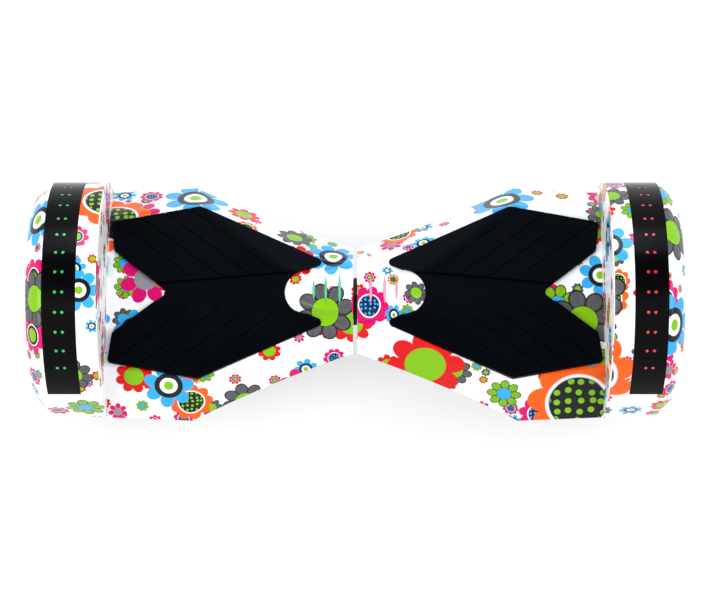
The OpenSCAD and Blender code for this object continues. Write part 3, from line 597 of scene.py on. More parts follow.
    def _nearest_hero(self, graph: Graph, sheet: Signal) -> tuple[Signal, Signal]:
        """Returns the colour and mask of the large flowers."""
        count = len(Bloom)
        best: Signal | None = None
        unit: Signal | None = None
        kind: Signal | None = None
        for hero in self.heroes:
            away = graph.vector("SUBTRACT", sheet, (hero.across, hero.around, 0.0))
            here = graph.vector("SCALE", away)
            here.value.node.inputs["Scale"].default_value = 1.0 / hero.radius
            reach = graph.length(here)
            code = (hero.kind.value + 0.5) / count
            if best is None:
                best, unit, kind = reach, here, Signal(graph, code)
                continue
            closer = reach < best
            settings = {"data_type": "VECTOR"}
            unit = graph.node("ShaderNodeMix", settings, {0: closer, 4: unit, 5: here}, 1)
            kind = graph.blend(closer, kind, code)
            best = best.min(reach)
        return self._bloom(graph, unit, kind, kind * self.hero_turn)

    def _lay(self, graph: Graph) -> None:
        """Adds the finish's nodes."""
        sheet = graph.node("ShaderNodeUVMap", {"uv_map": PRINT_MAP}, {})
        colour: Signal | Colour = WHITE
        for scatter in self.scatters:
            tint, mask = self._scattered(graph, sheet, scatter)
            colour = graph.mix(mask, colour, tint)
        tint, mask = self._nearest_hero(graph, sheet)
        colour = graph.mix(mask, colour, tint)
        place = graph.place()
        cloud = graph.noise(place, 14.0)
        peel = graph.noise(place, 240.0, 2.0)
        graph.shade({
            "Base Color": colour, "Roughness": cloud * 0.1 + 0.2, "Coat Weight": 0.2,
            "Coat Roughness": 0.04, "Specular IOR Level": 0.15,
        })
        graph.bump(peel, 0.00003)


# Mesh helpers ---------------------------------------------------------------


def bezier(
    first: Sequence[float], bend: Sequence[float], last: Sequence[float], t: float,
) -> tuple[float, float]:
    """Returns the point at t, from 0 to 1, on a curve from first to last that bends towards bend."""
    middle = Vector(bend[:2])
    point = Vector(first[:2]).lerp(middle, t).lerp(middle.lerp(Vector(last[:2]), t), t)
    return point.x, point.y


def new_object(name: str, bm: bmesh.types.BMesh) -> bpy.types.Object:
    """Makes a linked object of a bmesh, with its normals pointing outwards, and frees the bmesh."""
    bmesh.ops.remove_doubles(bm, verts=bm.verts, dist=1e-6)
    bmesh.ops.recalc_face_normals(bm, faces=bm.faces)
    mesh = bpy.data.meshes.new(name)
    bm.to_mesh(mesh)
    bm.free()
    made = bpy.data.objects.new(name, mesh)
    bpy.context.scene.collection.objects.link(made)
    return made


def bake_modifiers(piece: bpy.types.Object) -> None:
    """Applies a piece's modifiers to its mesh."""
    graph = bpy.context.evaluated_depsgraph_get()
    mesh = bpy.data.meshes.new_from_object(piece.evaluated_get(graph))
    old = piece.data
    piece.modifiers.clear()
    piece.data = mesh
    mesh.name = piece.name
    bpy.data.meshes.remove(old)


def carve(base: bpy.types.Object, added: list[bpy.types.Object], cut: list[bpy.types.Object]) -> None:
    """Joins solids to a base and then cuts others out of it; the helpers are removed."""
    for helper in added + cut:
        step = base.modifiers.new("carve", "BOOLEAN")
        step.operation = "UNION" if helper in added else "DIFFERENCE"
        step.solver = "MANIFOLD"
        step.object = helper
    bake_modifiers(base)
    for helper in added + cut:
        bpy.data.objects.remove(helper)


def prism(points: Sequence[tuple[float, float]], low: float, high: float) -> bpy.types.Object:
    """Returns an upright solid on an outline in X and Y, from z low to z high."""
    bm = bmesh.new()
    face = bm.faces.new([bm.verts.new((x, y, low)) for x, y in points])
    raised = bmesh.ops.extrude_face_region(bm, geom=[face])["geom"]
    verts = [part for part in raised if isinstance(part, bmesh.types.BMVert)]
    bmesh.ops.translate(bm, verts=verts, vec=(0, 0, high - low))
    return new_object("helper", bm)


def pillar(centre: Sequence[float], radius: float, height: float, axis: str = "Z") -> bpy.types.Object:
    """Returns a round bar that starts at centre and runs along an axis."""
    bm = bmesh.new()
    bmesh.ops.create_cone(
        bm, cap_ends=True, segments=48, radius1=radius, radius2=radius, depth=height,
        matrix=Matrix.Translation((0, 0, height / 2)),
    )
    if axis == "X":
        bmesh.ops.rotate(bm, verts=bm.verts, matrix=Matrix.Rotation(math.pi / 2, 3, "Y"))
    bmesh.ops.translate(bm, verts=bm.verts, vec=centre)
    return new_object("helper", bm)


def turned(profile: Sequence[tuple[float, float]], axle: float, steps: int) -> bmesh.types.BMesh:
    """Spins a closed profile of (x, radius) points about the wheel axis.

    Args:
        profile: The points in order round the profile.
        axle: The height of the axis.
        steps: How many steps make the full turn.

    Returns:
        The bmesh of the ring.
    """
    bm = bmesh.new()
    verts = [bm.verts.new((x, 0.0, axle + radius)) for x, radius in profile]
    edges = [bm.edges.new((verts[i - 1], verts[i])) for i in range(len(verts))]
    bmesh.ops.spin(
        bm, geom=verts + edges, cent=(0, 0, axle), axis=(1, 0, 0), angle=math.tau, steps=steps,
        use_merge=True,
    )
    return bm


def mirrored(piece: bpy.types.Object, name: str) -> bpy.types.Object:
    """Returns a copy of a piece mirrored across X = 0."""
    bm = bmesh.new()
    bm.from_mesh(piece.data)
    bmesh.ops.scale(bm, verts=bm.verts, vec=(-1, 1, 1))
    bmesh.ops.reverse_faces(bm, faces=bm.faces)
    copy = piece.data.copy()
    bm.to_mesh(copy)
    bm.free()
    copy.name = name
    made = bpy.data.objects.new(name, copy)
    bpy.context.scene.collection.objects.link(made)
    return made


def shade(piece: bpy.types.Object, sharp: float = 35.0) -> None:
    """Shades a piece smooth except at edges that turn by more than sharp degrees."""
    piece.data.shade_smooth()
    piece.data.set_sharp_from_angle(angle=math.radians(sharp))


def coat(piece: bpy.types.Object, material: bpy.types.Material) -> None:
    """Gives a piece one material all over."""
    piece.data.materials.clear()
    piece.data.materials.append(material)


# The body -------------------------------------------------------------------


@dataclass
class BodyLines:
    """The right half's plan and section lines, in metres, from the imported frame's corners."""

    gap: float
    outer: float
    crown: float
    shoulder_y: float
    axle: float
    drum_w: float = 0.0705
    deck_rise: float = 0.018
    shoulder_len: float = 0.085
    waist_y: float = 0.0555
    waist_bend: float = 0.81
    hump_rise: float = 0.009
    hump_half: float = 0.028
    wing_y: float = 0.090
    heel_y: float = 0.073
    tip_y: float = 0.0315
    arc_r: float = 0.0235
    wall: float = 0.003
    chamfer: float = 0.015
    seam: float = 0.00015

    @classmethod
    def from_frame(cls) -> BodyLines:
        """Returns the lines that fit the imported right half."""
        low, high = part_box("top_shell_right")
        wheel_low, wheel_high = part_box("tyre_right")
        return cls(low.x, high.x, high.z, high.y, (wheel_low.z + wheel_high.z) / 2)

    @property
    def fender(self) -> float:
        """X where the fender drum starts."""
        return self.outer - self.drum_w

    @property
    def shoulder(self) -> float:
        """X where the body is deepest."""
        return self.fender - self.shoulder_len

    @property
    def deck(self) -> float:
        """Height of the deck."""
        return self.axle + self.deck_rise

    @property
    def drum_r(self) -> float:
        """Radius of the fender drum."""
        return self.crown - self.axle

    @property
    def pad_x0(self) -> float:
        """X of the pad's inner tips."""
        return self.gap + 0.026

    @property
    def arc_x(self) -> float:
        """X of the middle of the arc that bites into the pad."""
        return self.pad_x0 + 0.019

    @property
    def hump_x1(self) -> float:
        """X where the hump over the joint has run out."""
        return self.arc_x + self.arc_r - 0.004

    @staticmethod
    def _between(x: float, places: Sequence[float], values: Sequence[float]) -> float:
        """Returns the value at x on a line through (place, value) pairs, flat past its ends."""
        for start, end, first, last in zip(places, places[1:], values, values[1:]):
            if x <= end:
                return first + (last - first) * max(0.0, x - start) / (end - start)
        return values[-1]

    @staticmethod
    def _smooth(line: Callable[[float], float], x: float, reach: float = 0.004) -> float:
        """Returns a line's mean about x, which rounds its corners."""
        return sum(line(x + reach * k / 3) for k in range(-3, 4)) / 7

    def _seam_y_raw(self, x: float) -> float:
        """Half-depth at the seam, with a corner at the shoulder."""
        if x < self.shoulder:
            t = max(0.0, (x - self.gap) / (self.shoulder - self.gap))
            bend = self.waist_bend * t + (1 - self.waist_bend) * t * t
            return self.waist_y + (self.shoulder_y - self.waist_y) * bend
        flank = self.drum_r + 0.0035
        return self._between(x, (self.shoulder, self.fender), (self.shoulder_y, flank))

    def seam_y(self, x: float) -> float:
        """Half-depth of the body at the seam."""
        return self._smooth(self._seam_y_raw, x)

    def seam_z(self, x: float) -> float:
        """Height of the seam."""
        drop = self._between(x, (self.gap, self.shoulder, self.fender), (0.011, 0.018, 0.020))
        return self.axle - drop

    def deck_y(self, x: float) -> float:
        """Half-width of the deck at its edge."""
        places = (self.pad_x0, self.shoulder - 0.007, self.fender)
        values = (0.035, self.wing_y + 0.003, self.heel_y + 0.006)
        return self._smooth(lambda at: self._between(at, places, values), x, 0.006)

    def hump(self, x: float, y: float) -> float:
        """Height of the hump above the deck."""
        t = min(1.0, max(0.0, (x - self.gap) / (self.hump_x1 - self.gap)))
        half = self.hump_half * math.sqrt(1 - t**2.2) + 0.002
        rise = min(1.0, max(0.0, (half - abs(y)) / 0.010))
        return self.hump_rise * (1 - t**3) * rise * rise * (3 - 2 * rise)

    def section(self, x: float, share: float) -> tuple[float, float]:
        """Returns a point on the upper shell's cross-section.

        Args:
            x: Where the section is taken.
            share: From -1 at the front seam to 1 at the rear seam, 0 on the middle line.

        Returns:
            The point's Y and Z.
        """
        flat, bend = 0.66, 0.80
        depth, edge = self.seam_y(x), self.deck_y(x)
        foot = self.seam_z(x) + self.seam
        fall = Vector((depth - edge, foot - self.deck))
        start = Vector((edge - 0.004, self.deck))
        end = Vector((edge, self.deck)) + fall.normalized() * 0.005
        side, place = math.copysign(1.0, share), abs(share)
        if place <= flat:
            y = start.x * place / flat
            return side * y, self.deck + self.hump(x, y)
        if place <= bend:
            y, z = bezier(start, (edge, self.deck), end, (place - flat) / (bend - flat))
            return side * y, z
        point = end.lerp(Vector((depth, foot)), (place - bend) / (1 - bend))
        return side * point.x, point.y

    def map_around(self, x: float, y: float, z: float) -> float:
        """Returns how far round the section a point of the body lies from the middle line."""
        edge = self.deck_y(x)
        if abs(y) <= edge:
            return y
        return math.copysign(edge + math.hypot(abs(y) - edge, self.deck - z), y)

    def columns(self) -> list[float]:
        """Returns the X of each cross-section, closer together over the hump."""
        fine = round((self.hump_x1 - self.gap) / 0.0016)
        coarse = round((self.fender - self.hump_x1) / 0.0035)
        near = [self.gap + (self.hump_x1 - self.gap) * k / fine for k in range(fine)]
        reach = self.fender + 0.001 - self.hump_x1
        return near + [self.hump_x1 + reach * k / coarse for k in range(coarse + 1)]

    def pad_outline(self, grow: float) -> list[tuple[float, float]]:
        """Returns the foot pad's outline.

        Args:
            grow: How far it is moved outwards.

        Returns:
            Points of the outline, corners rounded.
        """
        end = self.fender - 0.002
        wing = self.shoulder - 0.007
        half = [
            (self.pad_x0, self.tip_y), (wing, self.wing_y), (end, self.heel_y),
            (end - 0.004, 0.043), (end - 0.059, 0.0),
        ]
        lower = [(x, -y) for x, y in half]
        arc = [
            (self.arc_x + self.arc_r * math.cos(turn), self.arc_r * math.sin(turn))
            for turn in (math.pi / 2 - math.pi * k / 24 for k in range(25))
        ]
        corners = lower + half[-2::-1] + arc
        return round_corners(corners, 0.004, 0.005, grow)


def round_corners(
    corners: list[tuple[float, float]], radius: float, notch: float, grow: float,
) -> list[tuple[float, float]]:
    """Rounds the corners of an outline and moves it outwards.

    Args:
        corners: The outline, counter-clockwise.
        radius: The radius of the outward corners before it is moved.
        notch: The radius of the inward corners before it is moved.
        grow: How far every side is moved outwards.

    Returns:
        The points of the new outline.
    """
    points: list[tuple[float, float]] = []
    count, steps, slight = len(corners), 6, 0.2
    for number in range(count):
        before, here, after = (Vector(corners[(number + k) % count]) for k in (-1, 0, 1))
        come, leave = (here - before).normalized(), (after - here).normalized()
        out_come, out_leave = Vector((come.y, -come.x)), Vector((leave.y, -leave.x))
        turn = come.x * leave.y - come.y * leave.x
        half = math.sqrt((1 + come.dot(leave)) / 2)
        spread = (out_come + out_leave).normalized() / half
        if abs(turn) < slight:
            points.append(tuple(here + spread * grow))
            continue
        outward = turn > 0
        centre = here - spread * radius if outward else here + spread * notch
        reach = radius + grow if outward else grow - notch
        first, last = (math.atan2(side.y, side.x) for side in (out_come, out_leave))
        sweep = (last - first) % math.tau if outward else -((first - last) % math.tau)
        for k in range(steps + 1):
            angle = first + sweep * k / steps
            points.append((centre.x + reach * math.cos(angle), centre.y + reach * math.sin(angle)))
    return points


@dataclass
class PrintedShells:
    """The two glossy upper shells, each with its deck, fender drum and skirt in one moulding."""

    lines: BodyLines
    finish: bpy.types.Material
    recess: float = 0.0034
    slit_places: tuple[float, ...] = (0.0133, 0.0272, 0.0392)
    slit_lengths: tuple[float, ...] = (0.035, 0.031, 0.022)
    slit_half: float = 0.0015
    plunger_r: float = 0.0053
    plunger_y: float = 0.040
    post_r: float = 0.0042
    screw_r: float = 0.0019
    bed_rim: float = 0.0025
    pad_play: float = 0.0003
    joint_r: float = 0.021
    axle_hole: float = 0.010
    strip_turn: float = 72.1
    strip_play: float = 0.00015

    def _skin(self) -> bpy.types.Object:
        """Returns the deck and slopes as a wall of even thickness, closed at the joint."""
        lines = self.lines
        columns, rows = lines.columns(), 96
        bm = bmesh.new()
        across = len(columns) - 1
        bmesh.ops.create_grid(bm, x_segments=across, y_segments=rows, size=0.5)
        for vert in bm.verts:
            x = columns[round((vert.co.x + 0.5) * across)]
            vert.co = Vector((x, *lines.section(x, vert.co.y * 2)))
        end = [e for e in bm.edges if e.is_boundary and all(abs(v.co.x - lines.gap) < 1e-5 for v in e.verts)]
        feet = sorted({v for e in end for v in e.verts}, key=lambda vert: vert.co.y)
        sill = bm.edges.new((feet[0], feet[-1]))
        bmesh.ops.edgeloop_fill(bm, edges=end + [sill])
        skin = new_object("shell_skin", bm)
        self._face_up(skin)
        wall = skin.modifiers.new("wall", "SOLIDIFY")
        wall.thickness, wall.offset, wall.use_even_offset = lines.wall, -1.0, True
        return skin

    @staticmethod
    def _face_up(skin: bpy.types.Object) -> None:
        """Turns an open skin over if its deck faces down."""
        if sum(face.normal.z * face.area for face in skin.data.polygons) < 0:
            skin.data.flip_normals()

    def _drum(self) -> bpy.types.Object:
        """Returns the fender drum, cut off along the seam."""
        lines = self.lines
        x0, x1, top, wall = lines.fender, lines.outer, lines.drum_r, 0.0035
        crown, lip = x1 - lines.chamfer, top - lines.chamfer
        bend = (crown + 0.0075, top - 0.0036)
        outside = [bezier((crown, top), bend, (x1, lip), k / 8) for k in range(9)]
        bend_in = (crown + 0.0052, top - wall - 0.0036)
        ends_in = (x1 - 0.003, lip - 0.0015), (crown - 0.002, top - wall)
        inside = [bezier(ends_in[0], bend_in, ends_in[1], k / 6) for k in range(7)]
        round_in = [bezier((x0, top - 0.004), (x0, top), (x0 + 0.004, top), k / 6) for k in range(7)]
        hole = self.axle_hole
        profile = [
            *round_in, *outside, (x1, lip - 0.004), (x1 - 0.003, lip - 0.004), *inside,
            (x0 + wall, top - wall), (x0 + wall, hole), (x0, hole),
        ]
        bm = turned(profile, lines.axle, 160)
        bmesh.ops.bisect_plane(
            bm, geom=[*bm.verts, *bm.edges, *bm.faces], dist=1e-7,
            plane_co=(0, 0, lines.seam_z(x0) + lines.seam), plane_no=(0, 0, 1), clear_inner=True,
        )
        bmesh.ops.holes_fill(bm, edges=[e for e in bm.edges if e.is_boundary], sides=0)
        return new_object("drum", bm)

    def _skirt(self, side: float) -> bpy.types.Object:
        """Returns the lip that carries the seam on round the fender, at the front or the rear."""
        lines = self.lines
        foot = lines.seam_z(lines.fender) + lines.seam
        inner = lines.drum_r - 0.0025
        near, far = lines.fender + 0.0005, lines.outer - lines.chamfer
        corners = [
            (near, inner, foot), (near, lines.drum_r + 0.0035, foot), (near, inner, lines.axle + 0.026),
            (far, inner, foot), (far, lines.drum_r + 0.0002, foot), (far, inner, lines.axle + 0.003),
        ]
        bm = bmesh.new()
        for x, y, z in corners:
            bm.verts.new((x, y * side, z))
        bmesh.ops.convex_hull(bm, input=bm.verts)
        return new_object("skirt", bm)

    def _strip_cut(self) -> bpy.types.Object:
        """Returns the band that is cut out of the drum for the light strip."""
        lines = self.lines
        low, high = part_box("fender_strip_right")
        half = math.radians(self.strip_turn)
        x0, x1, top = low.x - self.strip_play, high.x + self.strip_play, lines.drum_r
        bm = bmesh.new()
        corners = [(x0, top - 0.002), (x1, top - 0.002), (x1, top + 0.002), (x0, top + 0.002)]
        face = bm.faces.new([bm.verts.new((x, 0.0, lines.axle + r)) for x, r in corners])
        centre, axis = (0, 0, lines.axle), (1, 0, 0)
        bmesh.ops.rotate(bm, verts=bm.verts, cent=centre, matrix=Matrix.Rotation(-half, 3, "X"))
        bmesh.ops.spin(bm, geom=[face], cent=centre, axis=axis, angle=2 * half, steps=64)
        return new_object("strip_cut", bm)

    def _slit(self, number: int) -> bpy.types.Object:
        """Returns the cutter of one pointed slit over the joint."""
        x, half = self.lines.gap + self.slit_places[number], self.slit_lengths[number] / 2
        wide, waist = self.slit_half, half * 0.4
        points = [
            (x, -half), (x + wide, -waist), (x + wide, waist),
            (x, half), (x - wide, waist), (x - wide, -waist),
        ]
        return prism(points, self.lines.deck - 0.006, self.lines.deck + 0.012)

    def _map(self, piece: bpy.types.Object) -> None:
        """Lays the print's map over a shell."""
        lines = self.lines
        mesh = piece.data
        layer = mesh.uv_layers.new(name=PRINT_MAP)
        for face in mesh.polygons:
            on_drum = abs(face.center.x) > lines.fender - 1e-5
            upright = on_drum and abs(face.normal.x) > 0.8 and abs(face.center.x) < lines.fender + 0.01
            for loop in face.loop_indices:
                x, y, z = mesh.vertices[mesh.loops[loop].vertex_index].co
                radius = math.hypot(y, z - lines.axle)
                if upright:
                    place = (x + math.copysign(0.4 + z, x), y)
                elif on_drum:
                    down = max(0.0, lines.drum_r - radius)
                    place = (x + math.copysign(down, x), lines.drum_r * math.atan2(y, z - lines.axle))
                else:
                    place = (x, lines.map_around(abs(x), y, z))
                layer.data[loop].uv = place

    def build(self) -> list[bpy.types.Object]:
        """Returns the two shells, dressed and riding on their halves."""
        lines = self.lines
        skin = self._skin()
        bake_modifiers(skin)
        floor = lines.deck - self.recess
        plunger_x = lines.shoulder - 0.020
        posts = [(lines.gap + 0.058, 0.032), (lines.shoulder - 0.022, 0.069), (lines.fender - 0.048, 0.062)]
        added = [self._drum(), self._skirt(1.0), self._skirt(-1.0)]
        added.append(prism(lines.pad_outline(self.bed_rim), floor - 0.002, lines.deck - 0.0015))
        cut = [prism(lines.pad_outline(self.pad_play), floor, lines.deck + 0.004)]
        for side in (-1, 1):
            added += [pillar((x, y * side, lines.axle - 0.0057), self.post_r, 0.022) for x, y in posts]
            cut += [pillar((x, y * side, lines.axle - 0.007), self.screw_r, 0.013) for x, y in posts]
            cut.append(pillar((plunger_x, self.plunger_y * side, lines.axle), self.plunger_r, 0.030))
        cut += [self._slit(number) for number in range(3)]
        joint = (lines.gap - 0.001, 0, lines.axle - 0.014)
        cut.append(pillar(joint, self.joint_r, lines.wall + 0.002, "X"))
        cut.append(pillar((lines.fender - 0.002, 0, lines.axle), self.axle_hole, 0.008, "X"))
        cut.append(self._strip_cut())
        carve(skin, added, cut)
        shells = []
        for side in Side:
            name = f"printed_shell_{side.tag}"
            shell = skin if side is Side.RIGHT else mirrored(skin, name)
            shell.name = name
            self._map(shell)
            shade(shell)
            coat(shell, self.finish)
            shells.append(shell)
            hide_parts(f"top_shell_{side.tag}")
            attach(shell, f"{side.tag}_half")
        return shells


# Wheels, and the frame's own parts -------------------------------------------


@dataclass
class Tyres:
    """The two solid rubber tyres, with two rain grooves and a row of shoulder lugs each side."""

    finish: bpy.types.Material
    steps: int = 192
    lug_every: int = 4
    lug_depth: float = 0.0016
    groove: float = 0.0035
    smooth_to: float = 30.0

    def build(self) -> list[bpy.types.Object]:
        """Returns the two tyres, dressed and riding on their wheels."""
        pieces = []
        low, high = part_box("tyre_right")
        middle, half = (low.x + high.x) / 2, (high.x - low.x) / 2
        axle, top = (low.z + high.z) / 2, (high.z - low.z) / 2
        rim_low, rim_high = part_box("wheel_rim_right")
        inner = (rim_high.z - rim_low.z) / 2
        flank = [
            (half - 0.004, inner), (half - 0.001, inner + 0.004), (half - 0.0004, inner + 0.010),
            (half, inner + 0.0165), (half - 0.0004, top - 0.0145), (half - 0.002, top - 0.010),
            (half - 0.0036, top - 0.0068), (half - 0.006, top - 0.004), (half - 0.009, top - 0.0022),
            (half - 0.012, top - 0.001), (0.0126, top - 0.0002), (0.0122, top - self.groove),
            (0.0098, top - self.groove), (0.0094, top),
        ]
        profile = flank + [(-x, radius) for x, radius in reversed(flank)]
        bm = turned([(middle + x, radius) for x, radius in profile], axle, self.steps)
        lugs = []
        for face in bm.faces:
            place = face.calc_center_median()
            reach = math.hypot(place.y, place.z - axle)
            step = round(math.atan2(place.y, place.z - axle) / math.tau * self.steps - 0.5)
            off = place.x - middle
            shift = 0 if off > 0 else 2
            on_shoulder = 0.0133 < abs(off) < half - 0.0018 and reach > top - 0.0125
            if on_shoulder and (step + shift) % self.lug_every == 0:
                lugs.append(face)
        bmesh.ops.recalc_face_normals(bm, faces=bm.faces)
        bmesh.ops.inset_region(bm, faces=lugs, thickness=0.0003, depth=-self.lug_depth, use_even_offset=True)
        right = new_object("tyre_tread_right", bm)
        for side in Side:
            name = f"tyre_tread_{side.tag}"
            tyre = right if side is Side.RIGHT else mirrored(right, name)
            shade(tyre, self.smooth_to)
            coat(tyre, self.finish)
            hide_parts(f"tyre_{side.tag}")
            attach(tyre, f"{side.tag}_wheel")
            pieces.append(tyre)
        return pieces


@dataclass
class FrameParts:
    """The frame's own parts, kept as they are and given crisp rounded edges and real finishes."""

    nodes: dict[str, bpy.types.Object]
    finishes: dict[str, bpy.types.Material]
    edge: float = 0.0004
    weld: float = 0.000005
    flat_angle: float = 0.4
    sharp_angle: float = 35.0

    @staticmethod
    def smoother(limit: float = 32.0) -> bpy.types.NodeTree:
        """Returns a node group that shades a mesh smooth except where it turns past limit degrees."""
        group = bpy.data.node_groups.new("smooth_by_angle", "GeometryNodeTree")
        group.interface.new_socket("Geometry", in_out="INPUT", socket_type="NodeSocketGeometry")
        group.interface.new_socket("Geometry", in_out="OUTPUT", socket_type="NodeSocketGeometry")
        take, give = group.nodes.new("NodeGroupInput"), group.nodes.new("NodeGroupOutput")
        whole = group.nodes.new("GeometryNodeSetShadeSmooth")
        whole.domain = "FACE"
        sharp = group.nodes.new("GeometryNodeSetShadeSmooth")
        sharp.domain = "EDGE"
        angle = group.nodes.new("GeometryNodeInputMeshEdgeAngle")
        less = group.nodes.new("ShaderNodeMath")
        less.operation = "LESS_THAN"
        less.inputs[1].default_value = math.radians(limit)
        links = group.links
        links.new(take.outputs[0], whole.inputs["Geometry"])
        links.new(whole.outputs[0], sharp.inputs["Geometry"])
        links.new(angle.outputs["Unsigned Angle"], less.inputs[0])
        links.new(less.outputs[0], sharp.inputs["Shade Smooth"])
        links.new(sharp.outputs[0], give.inputs[0])
        return group

    def _trim(self, node: bpy.types.Object, smoother: bpy.types.NodeTree, width: float) -> None:
        """Adds the modifiers that weld, round and shade a part of the frame."""
        weld = node.modifiers.new("weld", "WELD")
        weld.merge_threshold = self.weld
        flat = node.modifiers.new("flat", "DECIMATE")
        flat.decimate_type = "DISSOLVE"
        flat.angle_limit = math.radians(self.flat_angle)
        if width > 0:
            bevel = node.modifiers.new("edge", "BEVEL")
            bevel.width, bevel.segments = width, 2
            bevel.limit_method, bevel.angle_limit = "ANGLE", math.radians(self.sharp_angle)
            bevel.use_clamp_overlap = True
        smooth = node.modifiers.new("smooth", "NODES")
        smooth.node_group = smoother
        even = node.modifiers.new("even", "WEIGHTED_NORMAL")
        even.keep_sharp = True

    def dress(self, slots: dict[str, str], bevels: dict[str, float]) -> None:
        """Gives every shown frame part its finish and its edges.

        Args:
            slots: The record's material slot of each node.
            bevels: Edge widths of the nodes that differ from the usual one.
        """
        smoother = self.smoother()
        for name, node in sorted(self.nodes.items()):
            material = self.finishes[slots[name]]
            for place in node.material_slots:
                place.material = material
            stem = name.removesuffix("_left").removesuffix("_right")
            self._trim(node, smoother, bevels.get(stem, self.edge))
            LOG.info("%s wears %s", name, material.name)


# Studio ---------------------------------------------------------------------


@dataclass
class Studio:
    """White floor, soft light and the camera above the board's front."""

    target: Vector
    distance: float = 2.300
    elevation: float = 72.85
    lens: float = 115.6
    sensor: float = 36.0
    far: float = 20.0
    floor_half: float = 6.0
    lights: tuple[tuple[str, tuple[float, float, float], float, float, Colour], ...] = (
        ("key", (-1.5, -0.8, 1.7), 1.3, 24.0, (1.0, 0.99, 0.97)),
        ("fill", (1.6, -0.3, 1.6), 1.3, 18.0, (0.97, 0.98, 1.0)),
        ("back", (0.0, 1.5, 1.9), 1.1, 22.0, (0.82, 0.9, 1.0)),
    )

    def _light(self, name: str, place: Vector, size: float, power: float, colour: Colour) -> None:
        """Hangs a square soft light that faces the board."""
        lamp = bpy.data.lights.new(name, "AREA")
        lamp.energy, lamp.size, lamp.color = power, size, colour
        hung = bpy.data.objects.new(name, lamp)
        hung.location = place
        hung.rotation_euler = (self.target - place).to_track_quat("-Z", "Y").to_euler()
        bpy.context.scene.collection.objects.link(hung)

    def _floor(self) -> None:
        """Lays the white floor."""
        bm = bmesh.new()
        bmesh.ops.create_grid(bm, x_segments=1, y_segments=1, size=self.floor_half)
        floor = new_object("studio_floor", bm)
        graph = Graph("studio_white")
        cloud = graph.noise(graph.place(), 3.0)
        graph.shade({
            "Base Color": (0.44, 0.44, 0.443), "Roughness": cloud * 0.05 + 0.2, "Specular IOR Level": 0.35,
            "Emission Color": (1.0, 1.0, 1.0), "Emission Strength": 0.57,
        })
        coat(floor, graph.material)

    @staticmethod
    def _sky(scene: bpy.types.Scene) -> None:
        """Surrounds the board with white, but for a soft dark patch of ceiling over it."""
        world = bpy.data.worlds.new("studio")
        world.use_nodes = True
        nodes, links = world.node_tree.nodes, world.node_tree.links
        way = nodes.new("ShaderNodeTexCoord")
        facing = nodes.new("ShaderNodeVectorMath")
        facing.operation = "DOT_PRODUCT"
        facing.inputs[1].default_value = (0.0, 0.20, 0.98)
        links.new(way.outputs["Generated"], facing.inputs[0])
        fade = nodes.new("ShaderNodeMapRange")
        fade.interpolation_type = "SMOOTHSTEP"
        for key, value in (("From Min", 0.83), ("From Max", 0.965), ("To Min", 0.98), ("To Max", 0.12)):
            fade.inputs[key].default_value = value
        links.new(facing.outputs["Value"], fade.inputs["Value"])
        sky = nodes["Background"]
        sky.inputs["Color"].default_value = (0.97, 0.985, 1.0, 1.0)
        links.new(fade.outputs["Result"], sky.inputs["Strength"])
        scene.world = world

    def build(self) -> None:
        """Sets the world, the floor, the lights and the camera."""
        scene = bpy.context.scene
        scene.view_settings.view_transform = "Standard"
        self._sky(scene)
        self._floor()
        for name, place, size, power, colour in self.lights:
            self._light(name, Vector(place), size, power, colour)
        camera = bpy.data.cameras.new("camera")
        camera.lens, camera.sensor_width = self.lens, self.sensor
        camera.clip_end = self.far
        stand = bpy.data.objects.new("camera", camera)
        lift = math.radians(self.elevation)
        away = Vector((0, -math.cos(lift), math.sin(lift))) * self.distance
        stand.location = self.target + away
        stand.rotation_euler = (-away).to_track_quat("-Z", "Y").to_euler()
        scene.collection.objects.link(stand)
        scene.camera = stand


# Assembly -------------------------------------------------------------------

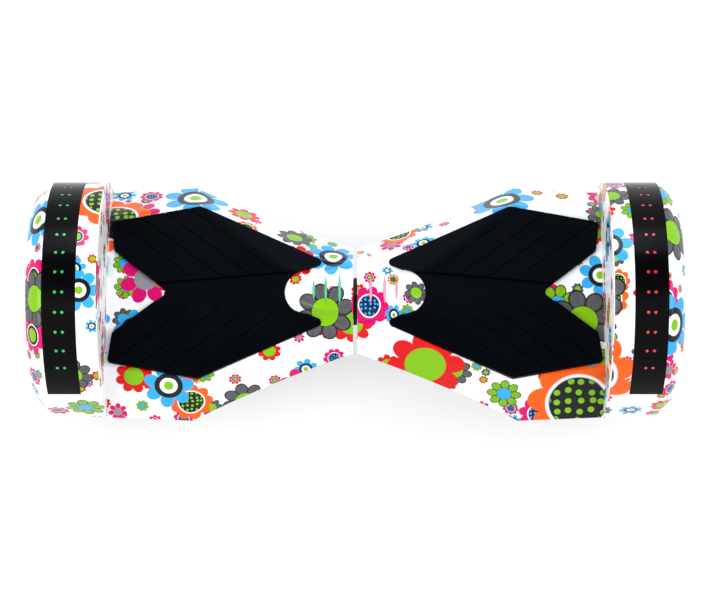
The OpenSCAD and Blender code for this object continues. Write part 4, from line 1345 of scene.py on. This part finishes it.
FINISHES: dict[str, Finish] = {
    "black_shell": Moulded(
        "black_gloss", (0.006, 0.006, 0.007), 0.25, 500.0, 0.00003, coat=0.35, specular=0.3,
    ),
    "pad_rubber": Moulded("pad_rubber", (0.0008, 0.0015, 0.0026), 0.28, 1500.0, 0.00008, specular=0.03),
    "nylon": Moulded("nylon", (0.65, 0.64, 0.6), 0.45),
    "strip_plastic": Moulded(
        "strip_plastic", (0.001, 0.001, 0.0014), 0.2, 700.0, 0.00003, coat=0.025, specular=0.07,
    ),
    "gill_green": Glow("gill_green", (0.1, 0.62, 0.3), (0.1, 0.5, 0.26), 0.25),
    "gill_red": Glow("gill_red", (0.75, 0.3, 0.42), (0.7, 0.3, 0.42), 0.22),
    "dot_green": Glow("dot_green", (0.01, 0.8, 0.12), (0.01, 0.25, 0.06), 0.42),
    "dot_red": Glow("dot_red", (1.0, 0.01, 0.03), (0.35, 0.01, 0.02), 0.62),
    "clear_lens": ClearLens("clear_lens", (0.9, 0.93, 0.95)),
    "circuit_board": CircuitBoard("circuit_board"),
    "cast_alloy": Metal("cast_alloy", (0.62, 0.62, 0.63), 0.45, (300.0, 300.0, 300.0), 0.00008),
    "black_steel": Metal("black_steel", (0.05, 0.05, 0.055), 0.35),
    "black_nylon": Moulded("black_nylon", (0.014, 0.014, 0.015), 0.4),
    "steel": Metal("steel", (0.6, 0.6, 0.61), 0.25),
    "stator_iron": Wound("stator_iron", (0.32, 0.32, 0.34), (0.05, 0.05, 0.06), 0.001),
    "copper": Wound("copper", (0.85, 0.35, 0.12), (0.2, 0.05, 0.02), 0.0009, "Y"),
    "tyre_rubber": Moulded(
        "tyre_rubber", (0.011, 0.011, 0.012), 0.62, 1100.0, 0.00018, sheen=0.05, specular=0.3,
    ),
    "wheel_alloy": Metal("wheel_alloy", (0.55, 0.56, 0.58), 0.32),
    "magnet_steel": Metal("magnet_steel", (0.66, 0.64, 0.6), 0.2),
    "hub_paint": Moulded("hub_paint", (0.010, 0.011, 0.013), 0.38, 420.0, 0.00007, coat=0.2, specular=0.3),
    "bronze": Metal("bronze", (0.62, 0.38, 0.15), 0.3),
    "seal_rubber": Moulded("seal_rubber", (0.012, 0.012, 0.012), 0.55),
    "battery_wrap": ShrinkWrap("battery_wrap", (0.02, 0.12, 0.45)),
    "bright_metal": Metal("bright_metal", (0.82, 0.82, 0.83), 0.12),
}

HEROES: tuple[Hero, ...] = (
    Hero(-0.030, -0.022, 0.030, Bloom.GREY_LIME),
    Hero(-0.022, 0.041, 0.026, Bloom.SKY_EYE),
    Hero(0.014, -0.016, 0.020, Bloom.PINK_BERRY),
    Hero(0.070, -0.079, 0.040, Bloom.RED_LIME),
    Hero(0.222, -0.118, 0.052, Bloom.ORANGE_DOTS),
    Hero(0.227, -0.030, 0.034, Bloom.GREY_LIME),
    Hero(-0.243, 0.078, 0.038, Bloom.ORANGE_DOTS),
    Hero(-0.163, 0.113, 0.034, Bloom.SKY_EYE),
    Hero(-0.210, 0.014, 0.027, Bloom.PINK_GREY),
    Hero(-0.110, -0.122, 0.024, Bloom.GREY_LIME),
    Hero(-0.185, -0.098, 0.026, Bloom.SKY_EYE),
    Hero(0.150, 0.112, 0.034, Bloom.SKY_EYE),
    Hero(-0.312, -0.036, 0.030, Bloom.GREY_LIME),
    Hero(0.311, 0.034, 0.032, Bloom.GREY_LIME),
    Hero(0.309, -0.062, 0.032, Bloom.SKY_EYE),
    Hero(-0.311, 0.050, 0.032, Bloom.SKY_EYE),
)

SCATTERS: tuple[Scatter, ...] = (
    Scatter(0.019, 0.0066, 0.26, 0.31),
    Scatter(0.030, 0.0125, 0.55, 0.87),
    Scatter(0.052, 0.022, 0.62, 0.13),
)


def main() -> None:
    """Builds the board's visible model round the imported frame."""
    logging.basicConfig(level=logging.INFO, format="%(name)s: %(message)s")
    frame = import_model()
    Studio(Vector((-0.0002, -0.0024, 0.1013))).build()
    lines = BodyLines.from_frame()
    flowers = FlowerPrint("flower_print", HEROES, SCATTERS).material()
    for shell in PrintedShells(lines, flowers).build():
        LOG.info("%s has %d faces", shell.name, len(shell.data.polygons))
    finishes = {slot: finish.material() for slot, finish in FINISHES.items()}
    for tyre in Tyres(finishes["tyre_rubber"]).build():
        LOG.info("%s has %d faces", tyre.name, len(tyre.data.polygons))
    slots = {part["node"]: part["material_slot"] for part in frame["record"]["subparts"]}
    gone = ("top_shell", "tyre_")
    kept = {name: node for name, node in frame["nodes"].items() if not name.startswith(gone)}
    bevels = {
        "foot_pad": 0.0007, "bottom_shell": 0.0008, "fender_strip": 0.0005, "windings": 0.0,
        "magnets": 0.0003,
    }
    FrameParts(kept, finishes).dress(slots, bevels)


if __name__ == "__main__":
    main()
